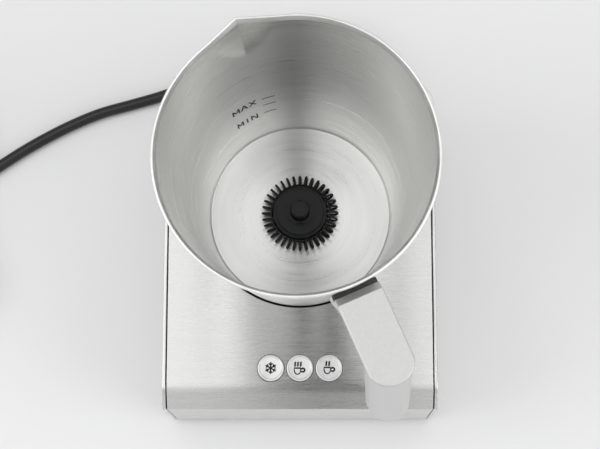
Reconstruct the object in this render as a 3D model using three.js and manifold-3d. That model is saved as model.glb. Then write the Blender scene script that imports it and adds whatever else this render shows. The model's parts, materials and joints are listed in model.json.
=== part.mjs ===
// Induction milk frother: a flat-topped steel power base, a tapered steel jug that stands
// in a shallow well, and a magnetically driven whisk.
//
// Millimetres, +Z up. While it is built, X = 0, Y = 0 is the jug's axis, Z = 0 is the table
// and -Y is the front, where the buttons are. The last lines move everything so that the
// origin is the bottom centre of the machine's own box, without its lead.

import * as THREE from 'three';
import { mergeVertices } from 'three/addons/utils/BufferGeometryUtils.js';
import Module from 'manifold-3d';

const wasm = await Module();
wasm.setup();

// ---- Driving dimensions ----------------------------------------------------------------

const GAP = 0.3; // between pieces that touch on the real object

const TOP_Z = 60.8; // flat top of the base
const BASE_BOTTOM_Z = 2.3; // lower edge of the base, above the table
const BASE_FRONT_Y = -81.1;
const BASE_REAR_Y = 55.3;
const SKIRT_HALF_WIDTH = 55.8;
const SKIRT_THICKNESS = 1.4;
const REAR_CORNER_RADIUS = 10;
const SHEET_HALF_WIDTH = 53.8;
const SHEET_THICKNESS = 1.2;
const BEND_Y = -72.9; // line where the flat top turns down towards the front
const BEND_RADIUS = 10;
const FRONT_EDGE_Z = 56.5; // sharp edge over the upright front face

const HOUSING_WALL = 2;
const HOUSING_BOTTOM_Z = 10.3;
const TRAY_FLOOR_Z = 4.5;
const TRAY_RIM_Z = 10;

const WELL_HOLE_RADIUS = 40.2; // hole in the steel top around the jug
const WELL_RADIUS = 40.4;
const WELL_FLOOR_Z = 51;

const JUG_BOTTOM_Z = 51.3;
const JUG_FLOOR_Z = 52.5; // inside
const JUG_RIM_Z = 163.5;
const JUG_FLOOR_RADIUS = 37.5; // inside
const JUG_RIM_RADIUS = 50; // inside
const JUG_WALL = 0.9;
const WALL_SLOPE = (JUG_RIM_RADIUS - JUG_FLOOR_RADIUS) / (JUG_RIM_Z - JUG_FLOOR_Z);
const LIP_WIDTH = 1.5;
const LIP_HEIGHT = 2.4;
const LIP_FLARE = 2; // depth over which the inside opens out to the lip
const SPOUT_REACH = 3.3; // beyond the round rim
const SPOUT_DEPTH = 25; // below the rim, where the V has faded out
const SPOUT_HALF_ANGLE = 16; // of the V at the rim, seen from the jug's axis

const HANDLE_ANGLE = 23.7; // from the front towards +X; the spout is opposite
const HANDLE_HALF_WIDTH = 8.6;
const HANDLE_END_RADIUS = 9;
const HANDLE_END = 80; // centre of the plate's round end, from the jug's axis
const HANDLE_TOP = -1.8; // plate's top, from the rim
const HANDLE_PLATE = 3.4;
const GRIP_BOTTOM = -86; // from the rim
const GRIP_LEAN = 0.08; // outwards, per millimetre down
const GRIP_INNER = 3.6; // flat inner face, from the centre of the round

const SPINDLE_RADIUS = 1.5;
const BUSH_RADIUS = 2.8;
const WHISK_BOTTOM_Z = 53.8;
const WHISK_HUB_RADIUS = 11.2;
const WHISK_RADIUS = 16;
const WHISK_LOOPS = 36;
const MAGNET_RADIUS = 3;
const MAGNET_OFFSET = 6.6;

const BUTTON_RADIUS = 5.4;
const BUTTON_PITCH = 11.8;
const BUTTON_Y = -64.9;
const BUTTON_TOP_Z = 62;
const BUTTON_STEM_Z = 55.2; // lower end of a button's stem

const COIL_BOTTOM_Z = 45.5; // induction coil, under the well's floor
const COIL_TOP_Z = 48.7;
const COIL_INNER_RADIUS = 18;
const COIL_OUTER_RADIUS = 37;
const MOTOR_BOTTOM_Z = 12;
const MOTOR_TOP_Z = 36;
const MOTOR_RADIUS = 12;
const BOARD_TOP_Z = 9.6; // power board
const CONTROL_BOARD_TOP_Z = 49.9;

const FAN_X = -27;
const FAN_Y = 24;
const FAN_SIZE = 32;
const FAN_BOTTOM_Z = 5.2;
const FAN_TOP_Z = 13.6;

const FOOT_RADIUS = 6;
const FOOT_PLACES = [[-43, -69], [43, -69], [-43, 43.5], [43, 43.5]];
const SCREW_PLACES = [[-47, -48], [47, -48], [-47, 28], [47, 28]];

const CORD_RADIUS = 2.5;
const CORD_EXIT_X = 25;
const CORD_EXIT_Z = 13;
const BOOT_END_Y = 77;
const COIL_CENTRE = [-180, 38.4];
const COIL_MID_RADIUS = 27.5;

// ---- Finishes --------------------------------------------------------------------------

const finish = (color, roughness, metalness) =>
  new THREE.MeshStandardMaterial({ color, roughness, metalness });

const brushedSteel = finish(0xc2c3c2, 0.38, 1);
const polishedSteel = finish(0xd6d7d6, 0.15, 1);
const blackPlastic = finish(0x18191a, 0.55, 0);
const greyPlastic = finish(0x4a4c4e, 0.6, 0);
const blackRubber = finish(0x101010, 0.85, 0);
const copper = finish(0xb06a3a, 0.35, 1);
const ferrite = finish(0x2b2a2c, 0.7, 0);
const magnetNickel = finish(0xb9bbbd, 0.2, 1);
const circuitGreen = finish(0x1f5a35, 0.5, 0);
const silverCap = finish(0xd4d5d5, 0.3, 0.9);

// ---- Shape helpers ---------------------------------------------------------------------

function toSolid(geometry) {
  const bare = geometry.clone();
  bare.deleteAttribute('normal');
  bare.deleteAttribute('uv');
  const merged = mergeVertices(bare, 1e-4);
  const corners = merged.index.array;
  const kept = [];
  for (let i = 0; i < corners.length; i += 3) {
    const [a, b, c] = corners.slice(i, i + 3);
    if (a !== b && b !== c && c !== a) kept.push(a, b, c);
  }
  return new wasm.Manifold(new wasm.Mesh({
    numProp: 3,
    vertProperties: new Float32Array(merged.attributes.position.array),
    triVerts: new Uint32Array(kept),
  }));
}

function toGeometry(solid) {
  const mesh = solid.getMesh();
  const geometry = new THREE.BufferGeometry();
  geometry.setAttribute('position', new THREE.BufferAttribute(mesh.vertProperties, 3));
  geometry.setIndex(new THREE.BufferAttribute(mesh.triVerts, 1));
  geometry.computeVertexNormals();
  return geometry;
}

function join(first, ...others) {
  return toGeometry(others.reduce((solid, next) => solid.add(toSolid(next)), toSolid(first)));
}

function cut(body, ...tools) {
  return toGeometry(tools.reduce((solid, tool) => solid.subtract(toSolid(tool)), toSolid(body)));
}

function common(first, second) {
  return toGeometry(toSolid(first).intersect(toSolid(second)));
}

// A profile of [radius, height] pairs turned round the Z axis, outside on the right.
function turned(profile, segments = 24) {
  const points = profile.map(([r, z]) => new THREE.Vector2(r, z));
  return new THREE.LatheGeometry(points, segments).rotateX(Math.PI / 2);
}

function disc(radius, z0, z1, x = 0, y = 0, segments = 16) {
  return turned([[0, z0], [radius, z0], [radius, z1], [0, z1]], segments).translate(x, y, 0);
}

function ring(inner, outer, z0, z1, segments = 24) {
  return turned([[inner, z0], [outer, z0], [outer, z1], [inner, z1], [inner, z0]], segments);
}

function block(x0, x1, y0, y1, z0, z1) {
  return new THREE.BoxGeometry(x1 - x0, y1 - y0, z1 - z0)
    .translate((x0 + x1) / 2, (y0 + y1) / 2, (z0 + z1) / 2);
}

// A plan outline stood up between two heights.
function upright(shape, z0, z1, curveSegments = 5) {
  const options = { depth: z1 - z0, bevelEnabled: false, curveSegments };
  return new THREE.ExtrudeGeometry(shape, options).translate(0, 0, z0);
}

// A side outline of [y, z] pairs, made wide along X.
function sideways(outline, halfWidth) {
  const shape = new THREE.Shape(outline.map(([y, z]) => new THREE.Vector2(y, z)));
  const options = { depth: 2 * halfWidth, bevelEnabled: false };
  const turn = new THREE.Matrix4().makeBasis(
    new THREE.Vector3(0, 1, 0), new THREE.Vector3(0, 0, 1), new THREE.Vector3(1, 0, 0),
  );
  return new THREE.ExtrudeGeometry(shape, options).applyMatrix4(turn).translate(-halfWidth, 0, 0);
}

// The base seen from above: square at the front, round corners at the rear.
function basePlan(halfWidth, frontY, rearY, cornerRadius) {
  const shape = new THREE.Shape();
  shape.moveTo(-halfWidth, frontY);
  shape.lineTo(halfWidth, frontY);
  shape.absarc(halfWidth - cornerRadius, rearY - cornerRadius, cornerRadius, 0, Math.PI / 2);
  shape.absarc(cornerRadius - halfWidth, rearY - cornerRadius, cornerRadius, Math.PI / 2, Math.PI);
  shape.closePath();
  return shape;
}

// The base seen from the side, from the rear to the lower front corner, `inset` inside
// the outer surface: flat top, soft bend, sloping strip, sharp edge, upright front.
function topLine(inset, rearY, bottomZ) {
  const slope = Math.atan2(TOP_Z - FRONT_EDGE_Z, BEND_Y - BASE_FRONT_Y);
  const centreY = BEND_Y + BEND_RADIUS * Math.tan(slope / 2);
  const centreZ = TOP_Z - BEND_RADIUS;
  const radius = BEND_RADIUS - inset;
  const line = [[rearY, TOP_Z - inset]];
  const steps = 4;
  for (let i = 0; i <= steps; i += 1) {
    const angle = (slope * i) / steps;
    line.push([centreY - radius * Math.sin(angle), centreZ + radius * Math.cos(angle)]);
  }
  const edgeDrop = inset * Math.tan((Math.PI / 2 - slope) / 2);
  line.push([BASE_FRONT_Y + inset, FRONT_EDGE_Z - edgeDrop]);
  line.push([BASE_FRONT_Y + inset, bottomZ]);
  return line;
}

const exitHole = () => disc(CORD_RADIUS + 2.9, -20, 20)
  .rotateX(Math.PI / 2).translate(CORD_EXIT_X, BASE_REAR_Y - 5, CORD_EXIT_Z);

// ---- Base: outer pieces ----------------------------------------------------------------

const sheetRearY = BASE_REAR_Y - SKIRT_THICKNESS - 0.6;
const sheetCorner = REAR_CORNER_RADIUS - SKIRT_THICKNESS - 0.6;

function topCover() {
  const outline = [
    ...topLine(0, sheetRearY, BASE_BOTTOM_Z),
    ...topLine(SHEET_THICKNESS, sheetRearY, BASE_BOTTOM_Z).reverse(),
  ];
  const plan = basePlan(SHEET_HALF_WIDTH, BASE_FRONT_Y, sheetRearY, sheetCorner);
  const sheet = common(sideways(outline, SHEET_HALF_WIDTH), upright(plan, 0, TOP_Z));
  const holes = buttonPlaces.map((x) => disc(BUTTON_RADIUS + GAP, TOP_Z - 10, TOP_Z + 5, x, BUTTON_Y, 24));
  return cut(sheet, disc(WELL_HOLE_RADIUS, TOP_Z - 10, TOP_Z + 5, 0, 0, 48), ...holes);
}

function bodySkirt() {
  const outer = basePlan(SKIRT_HALF_WIDTH, BASE_FRONT_Y, BASE_REAR_Y, REAR_CORNER_RADIUS);
  const inner = basePlan(
    SKIRT_HALF_WIDTH - SKIRT_THICKNESS, BASE_FRONT_Y - 5,
    BASE_REAR_Y - SKIRT_THICKNESS, REAR_CORNER_RADIUS - SKIRT_THICKNESS,
  );
  const side = [...topLine(0, BASE_REAR_Y, BASE_BOTTOM_Z), [BASE_REAR_Y, BASE_BOTTOM_Z]];
  const full = common(upright(outer, BASE_BOTTOM_Z, TOP_Z), sideways(side, SKIRT_HALF_WIDTH));
  return cut(full, upright(inner, 0, TOP_Z + 5), exitHole());
}

function housingFrame() {
  const inset = SHEET_THICKNESS + GAP;
  const rearY = sheetRearY - GAP;
  const width = SHEET_HALF_WIDTH - 0.2;
  const corner = sheetCorner - GAP;
  const shell = (shrink) => common(
    upright(
      basePlan(width - shrink, BASE_FRONT_Y + inset + shrink, rearY - shrink, corner - shrink / 2),
      HOUSING_BOTTOM_Z - shrink, TOP_Z,
    ),
    sideways([
      ...topLine(inset + shrink, rearY - shrink, HOUSING_BOTTOM_Z - shrink),
      [rearY - shrink, HOUSING_BOTTOM_Z - shrink],
    ], width - shrink),
  );
  const posts = SCREW_PLACES.map(([x, y]) => disc(3.5, HOUSING_BOTTOM_Z, TOP_Z - inset - 1, x, y, 8));
  const bores = SCREW_PLACES.map(([x, y]) => disc(1.7, 0, 24, x, y, 8));
  const wellHole = disc(WELL_RADIUS + 2, TOP_Z - 10, TOP_Z + 5, 0, 0, 48);
  const buttonHole = block(-20, 20, BUTTON_Y - 6.5, BUTTON_Y + 6.5, TOP_Z - 6, TOP_Z + 5);
  const hollow = cut(shell(0), shell(HOUSING_WALL));
  return cut(join(hollow, ...posts), ...bores, wellHole, buttonHole, exitHole());
}

function baseTray() {
  const width = SHEET_HALF_WIDTH - 0.2;
  const frontY = BASE_FRONT_Y + SHEET_THICKNESS + GAP;
  const rearY = sheetRearY - GAP;
  const corner = sheetCorner - GAP;
  const outer = upright(basePlan(width, frontY, rearY, corner), BASE_BOTTOM_Z, TRAY_RIM_Z);
  const inner = upright(
    basePlan(width - 1.8, frontY + 1.8, rearY - 1.8, corner - 1.8), TRAY_FLOOR_Z, TRAY_RIM_Z + 5,
  );
  const feet = FOOT_PLACES.map(([x, y]) => disc(FOOT_RADIUS + GAP, 0, 3.2, x, y));
  const screwHoles = SCREW_PLACES.flatMap(([x, y]) => [
    disc(1.7, 0, 8, x, y, 8),
    disc(3.2, 0, 3.6, x, y, 12),
  ]);
  const vents = [-2, -1, 0, 1, 2].map((i) => {
    const y = FAN_Y + i * 5;
    return block(FAN_X - 11, FAN_X + 11, y - 1.3, y + 1.3, 0, 6);
  });
  const outlets = [-3, -2, -1, 0, 1, 2, 3].map((i) => block(i * 6 - 1.3, i * 6 + 1.3, -62, -44, 0, 6));
  return cut(outer, inner, ...feet, ...screwHoles, ...vents, ...outlets, exitHole());
}

const foot = ([x, y]) => turned([
  [0, 0], [FOOT_RADIUS - 0.6, 0], [FOOT_RADIUS, 0.8], [FOOT_RADIUS, 2.9], [0, 2.9],
], 16).translate(x, y, 0);

const trayScrew = ([x, y]) => turned([
  [0, 2.5], [2.8, 2.5], [2.8, 3.3], [1.4, 3.3], [1.4, 15], [0, 15],
], 8).translate(x, y, 0);

// ---- Base: well, heater and drive ------------------------------------------------------

function jugWell() {
  const wall = 1.5;
  const top = TOP_Z - SHEET_THICKNESS - GAP;
  return turned([
    [0, WELL_FLOOR_Z - 1.7],
    [WELL_RADIUS + wall, WELL_FLOOR_Z - 1.7],
    [WELL_RADIUS + wall, 54.6],
    [48, 54.6],
    [48, 56.8],
    [WELL_RADIUS + wall, 56.8],
    [WELL_RADIUS + wall, top],
    [WELL_RADIUS, top],
    [WELL_RADIUS, WELL_FLOOR_Z],
    [0, WELL_FLOOR_Z],
  ], 48);
}

const inductionCoil = () => ring(
  COIL_INNER_RADIUS, COIL_OUTER_RADIUS, COIL_BOTTOM_Z, COIL_TOP_Z, 32,
);

const coilCarrier = () => ring(
  COIL_INNER_RADIUS - 4.5, COIL_OUTER_RADIUS + 1.5, COIL_BOTTOM_Z - GAP - 2.6, COIL_BOTTOM_Z - GAP, 32,
);

function ferriteBar(index) {
  const top = COIL_BOTTOM_Z - 2 * GAP - 2.6;
  return block(COIL_INNER_RADIUS, COIL_OUTER_RADIUS, -3, 3, top - 3.4, top)
    .rotateZ((index * Math.PI) / 3 + Math.PI / 6);
}

const temperatureSensor = () => turned([
  [0, COIL_BOTTOM_Z], [2, COIL_BOTTOM_Z], [2, COIL_TOP_Z - 0.5], [1.5, COIL_TOP_Z + GAP],
  [0, COIL_TOP_Z + GAP],
], 10).translate(0, 15.4, 0);

const driveMotor = () => turned([
  [0, MOTOR_BOTTOM_Z], [4, MOTOR_BOTTOM_Z], [4, MOTOR_BOTTOM_Z + 1.5],
  [MOTOR_RADIUS, MOTOR_BOTTOM_Z + 1.5], [MOTOR_RADIUS, MOTOR_TOP_Z], [4, MOTOR_TOP_Z],
  [4, MOTOR_TOP_Z + 1.5], [1.5, MOTOR_TOP_Z + 1.5], [1.5, MOTOR_TOP_Z - 10], [0, MOTOR_TOP_Z - 10],
]);

function motorBracket() {
  const top = MOTOR_TOP_Z + GAP + 2;
  const low = TRAY_FLOOR_Z + GAP;
  const bridge = block(-42, 42, -6, 6, MOTOR_TOP_Z + GAP, top);
  const legs = [-1, 1].map((side) => block(side * 40 - 2, side * 40 + 2, -6, 6, low, top - GAP));
  const toes = [-1, 1].map((side) => block(side * 36 - 6, side * 36 + 6, -6, 6, low, low + 2));
  return cut(join(bridge, ...legs, ...toes), disc(4.4, MOTOR_TOP_Z - 6, top + 2));
}

const driveShaft = () => disc(1.15, MOTOR_TOP_Z - 9.6, COIL_TOP_Z - 1.5, 0, 0, 8);

const magnetPlaces = [-MAGNET_OFFSET, MAGNET_OFFSET];

function magnetCarrier() {
  const bore = 1.15 + GAP;
  const top = COIL_TOP_Z - 0.1;
  const body = turned([
    [bore, top - 8.6], [3.6, top - 8.6], [3.6, top - 4.4], [12, top - 4.4], [12, top], [bore, top],
    [bore, top - 8.6],
  ]);
  const pockets = magnetPlaces.map((x) => disc(MAGNET_RADIUS + GAP, top - 3.3, top + 1, x, 0, 12));
  return cut(body, ...pockets);
}

const driveMagnet = (x) => disc(MAGNET_RADIUS, COIL_TOP_Z - 3.1, COIL_TOP_Z - 0.3, x, 0, 12);

// ---- Base: cooling fan and electronics -------------------------------------------------

function fanFrame() {
  const half = FAN_SIZE / 2;
  const body = cut(
    block(-half, half, -half, half, FAN_BOTTOM_Z, FAN_TOP_Z),
    disc(15, FAN_BOTTOM_Z - 1, FAN_TOP_Z + 1, 0, 0, 24),
  );
  const struts = [0, 1].map((i) => block(-15.5, 15.5, -1, 1, FAN_BOTTOM_Z, FAN_BOTTOM_Z + 1.2)
    .rotateZ(Math.PI / 4 + (i * Math.PI) / 2));
  const hub = disc(6, FAN_BOTTOM_Z, FAN_BOTTOM_Z + 1.2);
  return join(body, ...struts, hub).translate(FAN_X, FAN_Y, 0);
}

function fanImpeller() {
  const low = FAN_BOTTOM_Z + 1.6;
  const hub = disc(6.5, low, FAN_TOP_Z - 0.3);
  const blades = [0, 1, 2, 3, 4, 5, 6].map((i) => block(5.5, 14.3, -0.5, 0.5, -3.6, 3.6)
    .rotateX(0.6).translate(0, 0, (low + FAN_TOP_Z) / 2).rotateZ((i * 2 * Math.PI) / 7));
  return join(hub, ...blades).translate(FAN_X, FAN_Y, 0);
}

const onBoard = BOARD_TOP_Z + GAP;

const powerBoard = () => block(13, 42, 9, 44, BOARD_TOP_Z - 1.6, BOARD_TOP_Z);

const bulkCapacitor = () => turned([
  [0, onBoard], [6.4, onBoard], [6.4, onBoard + 18.6], [5.6, onBoard + 19.3], [0, onBoard + 19.3],
], 16).translate(21, 19, 0);

const mainsChoke = () => ring(2.6, 6.4, onBoard, onBoard + 7.1, 16).translate(35, 17, 0);

function heatSink() {
  const top = onBoard + 16.1;
  const base = block(17, 40, 30, 32, onBoard, top);
  const fins = [0, 1, 2, 3, 4].map((i) => block(17 + i * 5.35, 18.6 + i * 5.35, 31, 41, onBoard, top));
  return join(base, ...fins);
}

const controlBoard = () => block(-24, 24, -75, -56, CONTROL_BOARD_TOP_Z - 1.6, CONTROL_BOARD_TOP_Z);

const buttonPlaces = [-BUTTON_PITCH, 0, BUTTON_PITCH];

const tactSwitch = (x) => join(
  block(x - 3, x + 3, BUTTON_Y - 3, BUTTON_Y + 3, CONTROL_BOARD_TOP_Z + GAP, BUTTON_STEM_Z - 2),
  disc(1.6, BUTTON_STEM_Z - 3, BUTTON_STEM_Z - 1.1, x, BUTTON_Y, 8),
);

function buttonGuide() {
  const low = BUTTON_STEM_Z - 1.6;
  const holes = buttonPlaces.map((x) => disc(3.4, low - 1, low + 4, x, BUTTON_Y, 16));
  return cut(block(-23, 23, -73, -57, low, low + 3), ...holes);
}

// Low dished face inside a raised rim, on a round stem.
const button = (x) => turned([
  [0, BUTTON_STEM_Z], [3, BUTTON_STEM_Z], [3, BUTTON_STEM_Z + 2.4],
  [BUTTON_RADIUS, BUTTON_STEM_Z + 2.4], [BUTTON_RADIUS, BUTTON_TOP_Z - 0.5],
  [BUTTON_RADIUS - 0.5, BUTTON_TOP_Z], [BUTTON_RADIUS - 1.2, BUTTON_TOP_Z - 0.4],
  [0, BUTTON_TOP_Z - 0.4],
], 20).translate(x, BUTTON_Y, 0);

// ---- Jug -------------------------------------------------------------------------------

// How far the V-shaped spout stands out of a round section of the given radius: two flat
// facets that narrow to nothing below.
function spoutReach(radius, drop, angle) {
  const left = Math.max(0, 1 - drop / SPOUT_DEPTH);
  const half = THREE.MathUtils.degToRad(SPOUT_HALF_ANGLE) * Math.sqrt(left);
  const off = Math.abs(angle);
  if (off >= half) return 0;
  const tip = radius + SPOUT_REACH * left;
  const footX = radius * Math.cos(half);
  const footY = radius * Math.sin(half);
  return (tip * footY) / ((tip - footX) * Math.sin(off) + footY * Math.cos(off)) - radius;
}

function jugShell() {
  const inside = (z) => JUG_FLOOR_RADIUS + WALL_SLOPE * (z - JUG_FLOOR_Z);
  const depths = [LIP_FLARE, 6, 12, 18, SPOUT_DEPTH];
  const lipZ = JUG_RIM_Z - LIP_HEIGHT;
  const wallZ = depths.filter((d) => d > LIP_HEIGHT).map((d) => JUG_RIM_Z - d);
  const bottomCorner = inside(JUG_BOTTOM_Z) + JUG_WALL;
  const profile = [
    [0, JUG_BOTTOM_Z],
    [bottomCorner - 1.6, JUG_BOTTOM_Z],
    [bottomCorner, JUG_BOTTOM_Z + 1.2],
    ...wallZ.toReversed().map((z) => [inside(z) + JUG_WALL, z]),
    [inside(lipZ) + JUG_WALL, lipZ],
    [JUG_RIM_RADIUS + LIP_WIDTH, lipZ + 0.6],
    [JUG_RIM_RADIUS + LIP_WIDTH, JUG_RIM_Z - 0.5],
    [JUG_RIM_RADIUS + LIP_WIDTH - 0.5, JUG_RIM_Z],
    [JUG_RIM_RADIUS + LIP_WIDTH - 0.8, JUG_RIM_Z],
    ...depths.map((d) => [inside(JUG_RIM_Z - d), JUG_RIM_Z - d]),
    [JUG_FLOOR_RADIUS + WALL_SLOPE, JUG_FLOOR_Z + 1],
    [JUG_FLOOR_RADIUS - 1, JUG_FLOOR_Z],
    [0, JUG_FLOOR_Z],
  ];
  const shell = turned(profile, 48);
  const place = shell.attributes.position;
  for (let i = 0; i < place.count; i += 1) {
    const x = place.getX(i);
    const y = place.getY(i);
    const z = place.getZ(i);
    const radius = Math.hypot(x, y);
    const drop = JUG_RIM_Z - z;
    if (radius < 1 || drop > SPOUT_DEPTH) continue;
    const stretch = 1 + spoutReach(inside(z), drop, Math.atan2(x, -y)) / radius;
    place.setXY(i, x * stretch, y * stretch);
  }
  return shell.rotateZ(THREE.MathUtils.degToRad(HANDLE_ANGLE + 180));
}

// Strap welded under the rim, running out to a half-round grip. Built pointing along +X,
// with heights counted from the rim.
function handle() {
  const underside = HANDLE_TOP - HANDLE_PLATE;
  const wallAt = (drop) => JUG_RIM_RADIUS + JUG_WALL + GAP - WALL_SLOPE * drop;
  const side = new THREE.Shape([
    [wallAt(9.5), -9.5], [52.7, -9.5], [52.7, -4.8], [55.7, HANDLE_TOP],
    [HANDLE_END, HANDLE_TOP], [HANDLE_END, underside], [59, underside], [55.5, -12],
    [wallAt(26) + 2.5, -26], [wallAt(26), -26],
  ].map(([x, z]) => new THREE.Vector2(x, z)));
  const strap = new THREE.ExtrudeGeometry(side, { depth: 2 * HANDLE_HALF_WIDTH, bevelEnabled: false })
    .translate(0, 0, -HANDLE_HALF_WIDTH).rotateX(Math.PI / 2);
  const end = disc(HANDLE_END_RADIUS, underside, HANDLE_TOP, HANDLE_END, 0, 28);
  const section = new THREE.Shape();
  section.moveTo(-GRIP_INNER, -HANDLE_HALF_WIDTH);
  section.lineTo(0, -HANDLE_HALF_WIDTH);
  section.absarc(0, 0, HANDLE_HALF_WIDTH, -Math.PI / 2, Math.PI / 2);
  section.lineTo(-GRIP_INNER, HANDLE_HALF_WIDTH);
  section.closePath();
  const lean = new THREE.Matrix4().set(
    1, 0, -GRIP_LEAN, HANDLE_END,
    0, 1, 0, 0,
    0, 0, 1, 0,
    0, 0, 0, 1,
  );
  const grip = upright(section, GRIP_BOTTOM, underside + 1, 8).applyMatrix4(lean);
  return join(strap, end, grip)
    .rotateZ(THREE.MathUtils.degToRad(HANDLE_ANGLE - 90))
    .translate(0, 0, JUG_RIM_Z);
}

const whiskSpindle = () => turned([
  [0, JUG_FLOOR_Z + GAP], [4, JUG_FLOOR_Z + GAP], [4, JUG_FLOOR_Z + 0.8],
  [SPINDLE_RADIUS, JUG_FLOOR_Z + 0.9], [SPINDLE_RADIUS, WHISK_BOTTOM_Z + 7.8],
  [0, WHISK_BOTTOM_Z + 8.4],
], 12);

// ---- Whisk -----------------------------------------------------------------------------

const whiskBush = () => ring(
  SPINDLE_RADIUS + GAP, BUSH_RADIUS, WHISK_BOTTOM_Z + 0.2, WHISK_BOTTOM_Z + 7.4, 12,
);

function whiskHub() {
  const bore = BUSH_RADIUS + GAP;
  const low = WHISK_BOTTOM_Z;
  const body = turned([
    [bore, low], [WHISK_HUB_RADIUS - 0.6, low], [WHISK_HUB_RADIUS, low + 0.8],
    [WHISK_HUB_RADIUS, low + 4.4], [WHISK_HUB_RADIUS - 1.4, low + 5.6], [6, low + 5],
    [4.2, low + 5.8], [3.8, low + 11.6], [3.2, low + 12.2], [0, low + 12.2], [0, low + 8.8],
    [bore, low + 8.8], [bore, low],
  ]);
  const pockets = magnetPlaces.map((x) => disc(MAGNET_RADIUS + GAP, low - 1, low + 3.6, x, 0, 12));
  return cut(body, ...pockets);
}

const whiskMagnet = (x) => disc(MAGNET_RADIUS, WHISK_BOTTOM_Z + GAP, WHISK_BOTTOM_Z + 3.3, x, 0, 12);

// The sprung loops stand out of a band round the hub, one blunt finger to a loop.
function whiskRing() {
  const shape = new THREE.Shape();
  const band = WHISK_HUB_RADIUS + 1.2;
  for (let i = 0; i < WHISK_LOOPS; i += 1) {
    const middle = (i * 2 * Math.PI) / WHISK_LOOPS;
    const corners = [[band, -0.04], [WHISK_RADIUS, -0.03], [WHISK_RADIUS, 0.03], [band, 0.04]];
    corners.forEach(([radius, turn], k) => {
      const x = radius * Math.cos(middle + turn);
      const y = radius * Math.sin(middle + turn);
      if (i === 0 && k === 0) shape.moveTo(x, y);
      else shape.lineTo(x, y);
    });
  }
  shape.closePath();
  const bore = new THREE.Path();
  bore.absarc(0, 0, WHISK_HUB_RADIUS + GAP, 0, 2 * Math.PI);
  shape.holes.push(bore);
  return upright(shape, WHISK_BOTTOM_Z, WHISK_BOTTOM_Z + 4.4, 18);
}

// ---- Lead and plug ---------------------------------------------------------------------

// Grommet held in the rear wall, with a tapered boot outside. Turned, then laid along +Y.
const strainRelief = () => turned([
  [0, 48], [5, 48], [5, 55.6], [7.2, 55.6], [7.2, 57.8], [4.6, 58.6], [3.3, BOOT_END_Y],
  [0, BOOT_END_Y],
], 16).rotateX(-Math.PI / 2).translate(CORD_EXIT_X, 0, CORD_EXIT_Z);

function tube(points, sides, steps) {
  const route = new THREE.CatmullRomCurve3(points.map((p) => new THREE.Vector3(...p)), false, 'centripetal');
  const section = new THREE.Shape();
  section.absarc(0, 0, CORD_RADIUS, 0, 2 * Math.PI);
  return new THREE.ExtrudeGeometry(section, {
    steps, extrudePath: route, curveSegments: sides / 2, bevelEnabled: false,
  });
}

// Middle line of the lead from the boot's end to the coil, and from the coil to the plug.
const CORD_ROUTE = [
  [25, 77.3, 13], [24.6, 82, 12.5], [22.2, 88.5, 11], [16.5, 93.8, 8.6], [9, 96, 6], [0, 95, 4],
  [-11, 91, 2.9], [-22, 85.6, 2.6], [-34, 79, 2.6], [-47, 71.4, 2.6], [-62.3, 65.4, 2.6],
  [-76, 61.3, 2.6], [-91, 57, 2.6], [-104, 51.5, 2.6], [-115, 45.8, 2.6], [-125, 39.9, 2.6],
  [-135, 33.3, 2.6], [-147.9, 24.2, 2.6],
];

const TAIL_ROUTE = [[-155.1, 13, 7.6], [-156.1, 8.6, 7.5], [-157.1, 4.3, 7.2]];

const cordCoil = () => ring(
  COIL_MID_RADIUS - 2.1 * CORD_RADIUS, COIL_MID_RADIUS + 2.1 * CORD_RADIUS, 0, 10.2, 32,
).translate(...COIL_CENTRE, 0);

const PLUG_TURN = -0.23;

// Flat two-pin plug lying on its broad side, built pointing along -Y from its cable end.
function plugBody() {
  const shape = new THREE.Shape();
  shape.moveTo(-4, 0);
  shape.lineTo(4, 0);
  shape.lineTo(5.4, -9);
  shape.lineTo(15.5, -20);
  shape.lineTo(17.2, -36);
  shape.lineTo(-17.2, -36);
  shape.lineTo(-15.5, -20);
  shape.lineTo(-5.4, -9);
  shape.closePath();
  return upright(shape, 0.2, 13.9);
}

const plugPin = (x) => disc(2, 0, 19, 0, 0, 10).rotateX(Math.PI / 2).translate(x, -36 - GAP, 7);

// ---- Assembly --------------------------------------------------------------------------

const machine = new THREE.Group();
const lead = new THREE.Group();

function add(group, name, geometry, material) {
  const mesh = new THREE.Mesh(geometry, material);
  mesh.name = name;
  group.add(mesh);
  return mesh;
}

add(machine, 'top_cover', topCover(), brushedSteel);
add(machine, 'body_skirt', bodySkirt(), brushedSteel);
add(machine, 'housing_frame', housingFrame(), blackPlastic);
add(machine, 'base_tray', baseTray(), blackPlastic);
FOOT_PLACES.forEach((at, i) => add(machine, `foot_${i + 1}`, foot(at), blackRubber));
SCREW_PLACES.forEach((at, i) => add(machine, `tray_screw_${i + 1}`, trayScrew(at), polishedSteel));

add(machine, 'jug_well', jugWell(), blackPlastic);
add(machine, 'induction_coil', inductionCoil(), copper);
add(machine, 'coil_carrier', coilCarrier(), greyPlastic);
for (let i = 0; i < 6; i += 1) add(machine, `ferrite_bar_${i + 1}`, ferriteBar(i), ferrite);
add(machine, 'temperature_sensor', temperatureSensor(), polishedSteel);
add(machine, 'drive_motor', driveMotor(), polishedSteel);
add(machine, 'motor_bracket', motorBracket(), greyPlastic);
add(machine, 'drive_shaft', driveShaft(), polishedSteel);
add(machine, 'magnet_carrier', magnetCarrier(), greyPlastic);
magnetPlaces.forEach((x, i) => add(machine, `drive_magnet_${i + 1}`, driveMagnet(x), magnetNickel));

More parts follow.
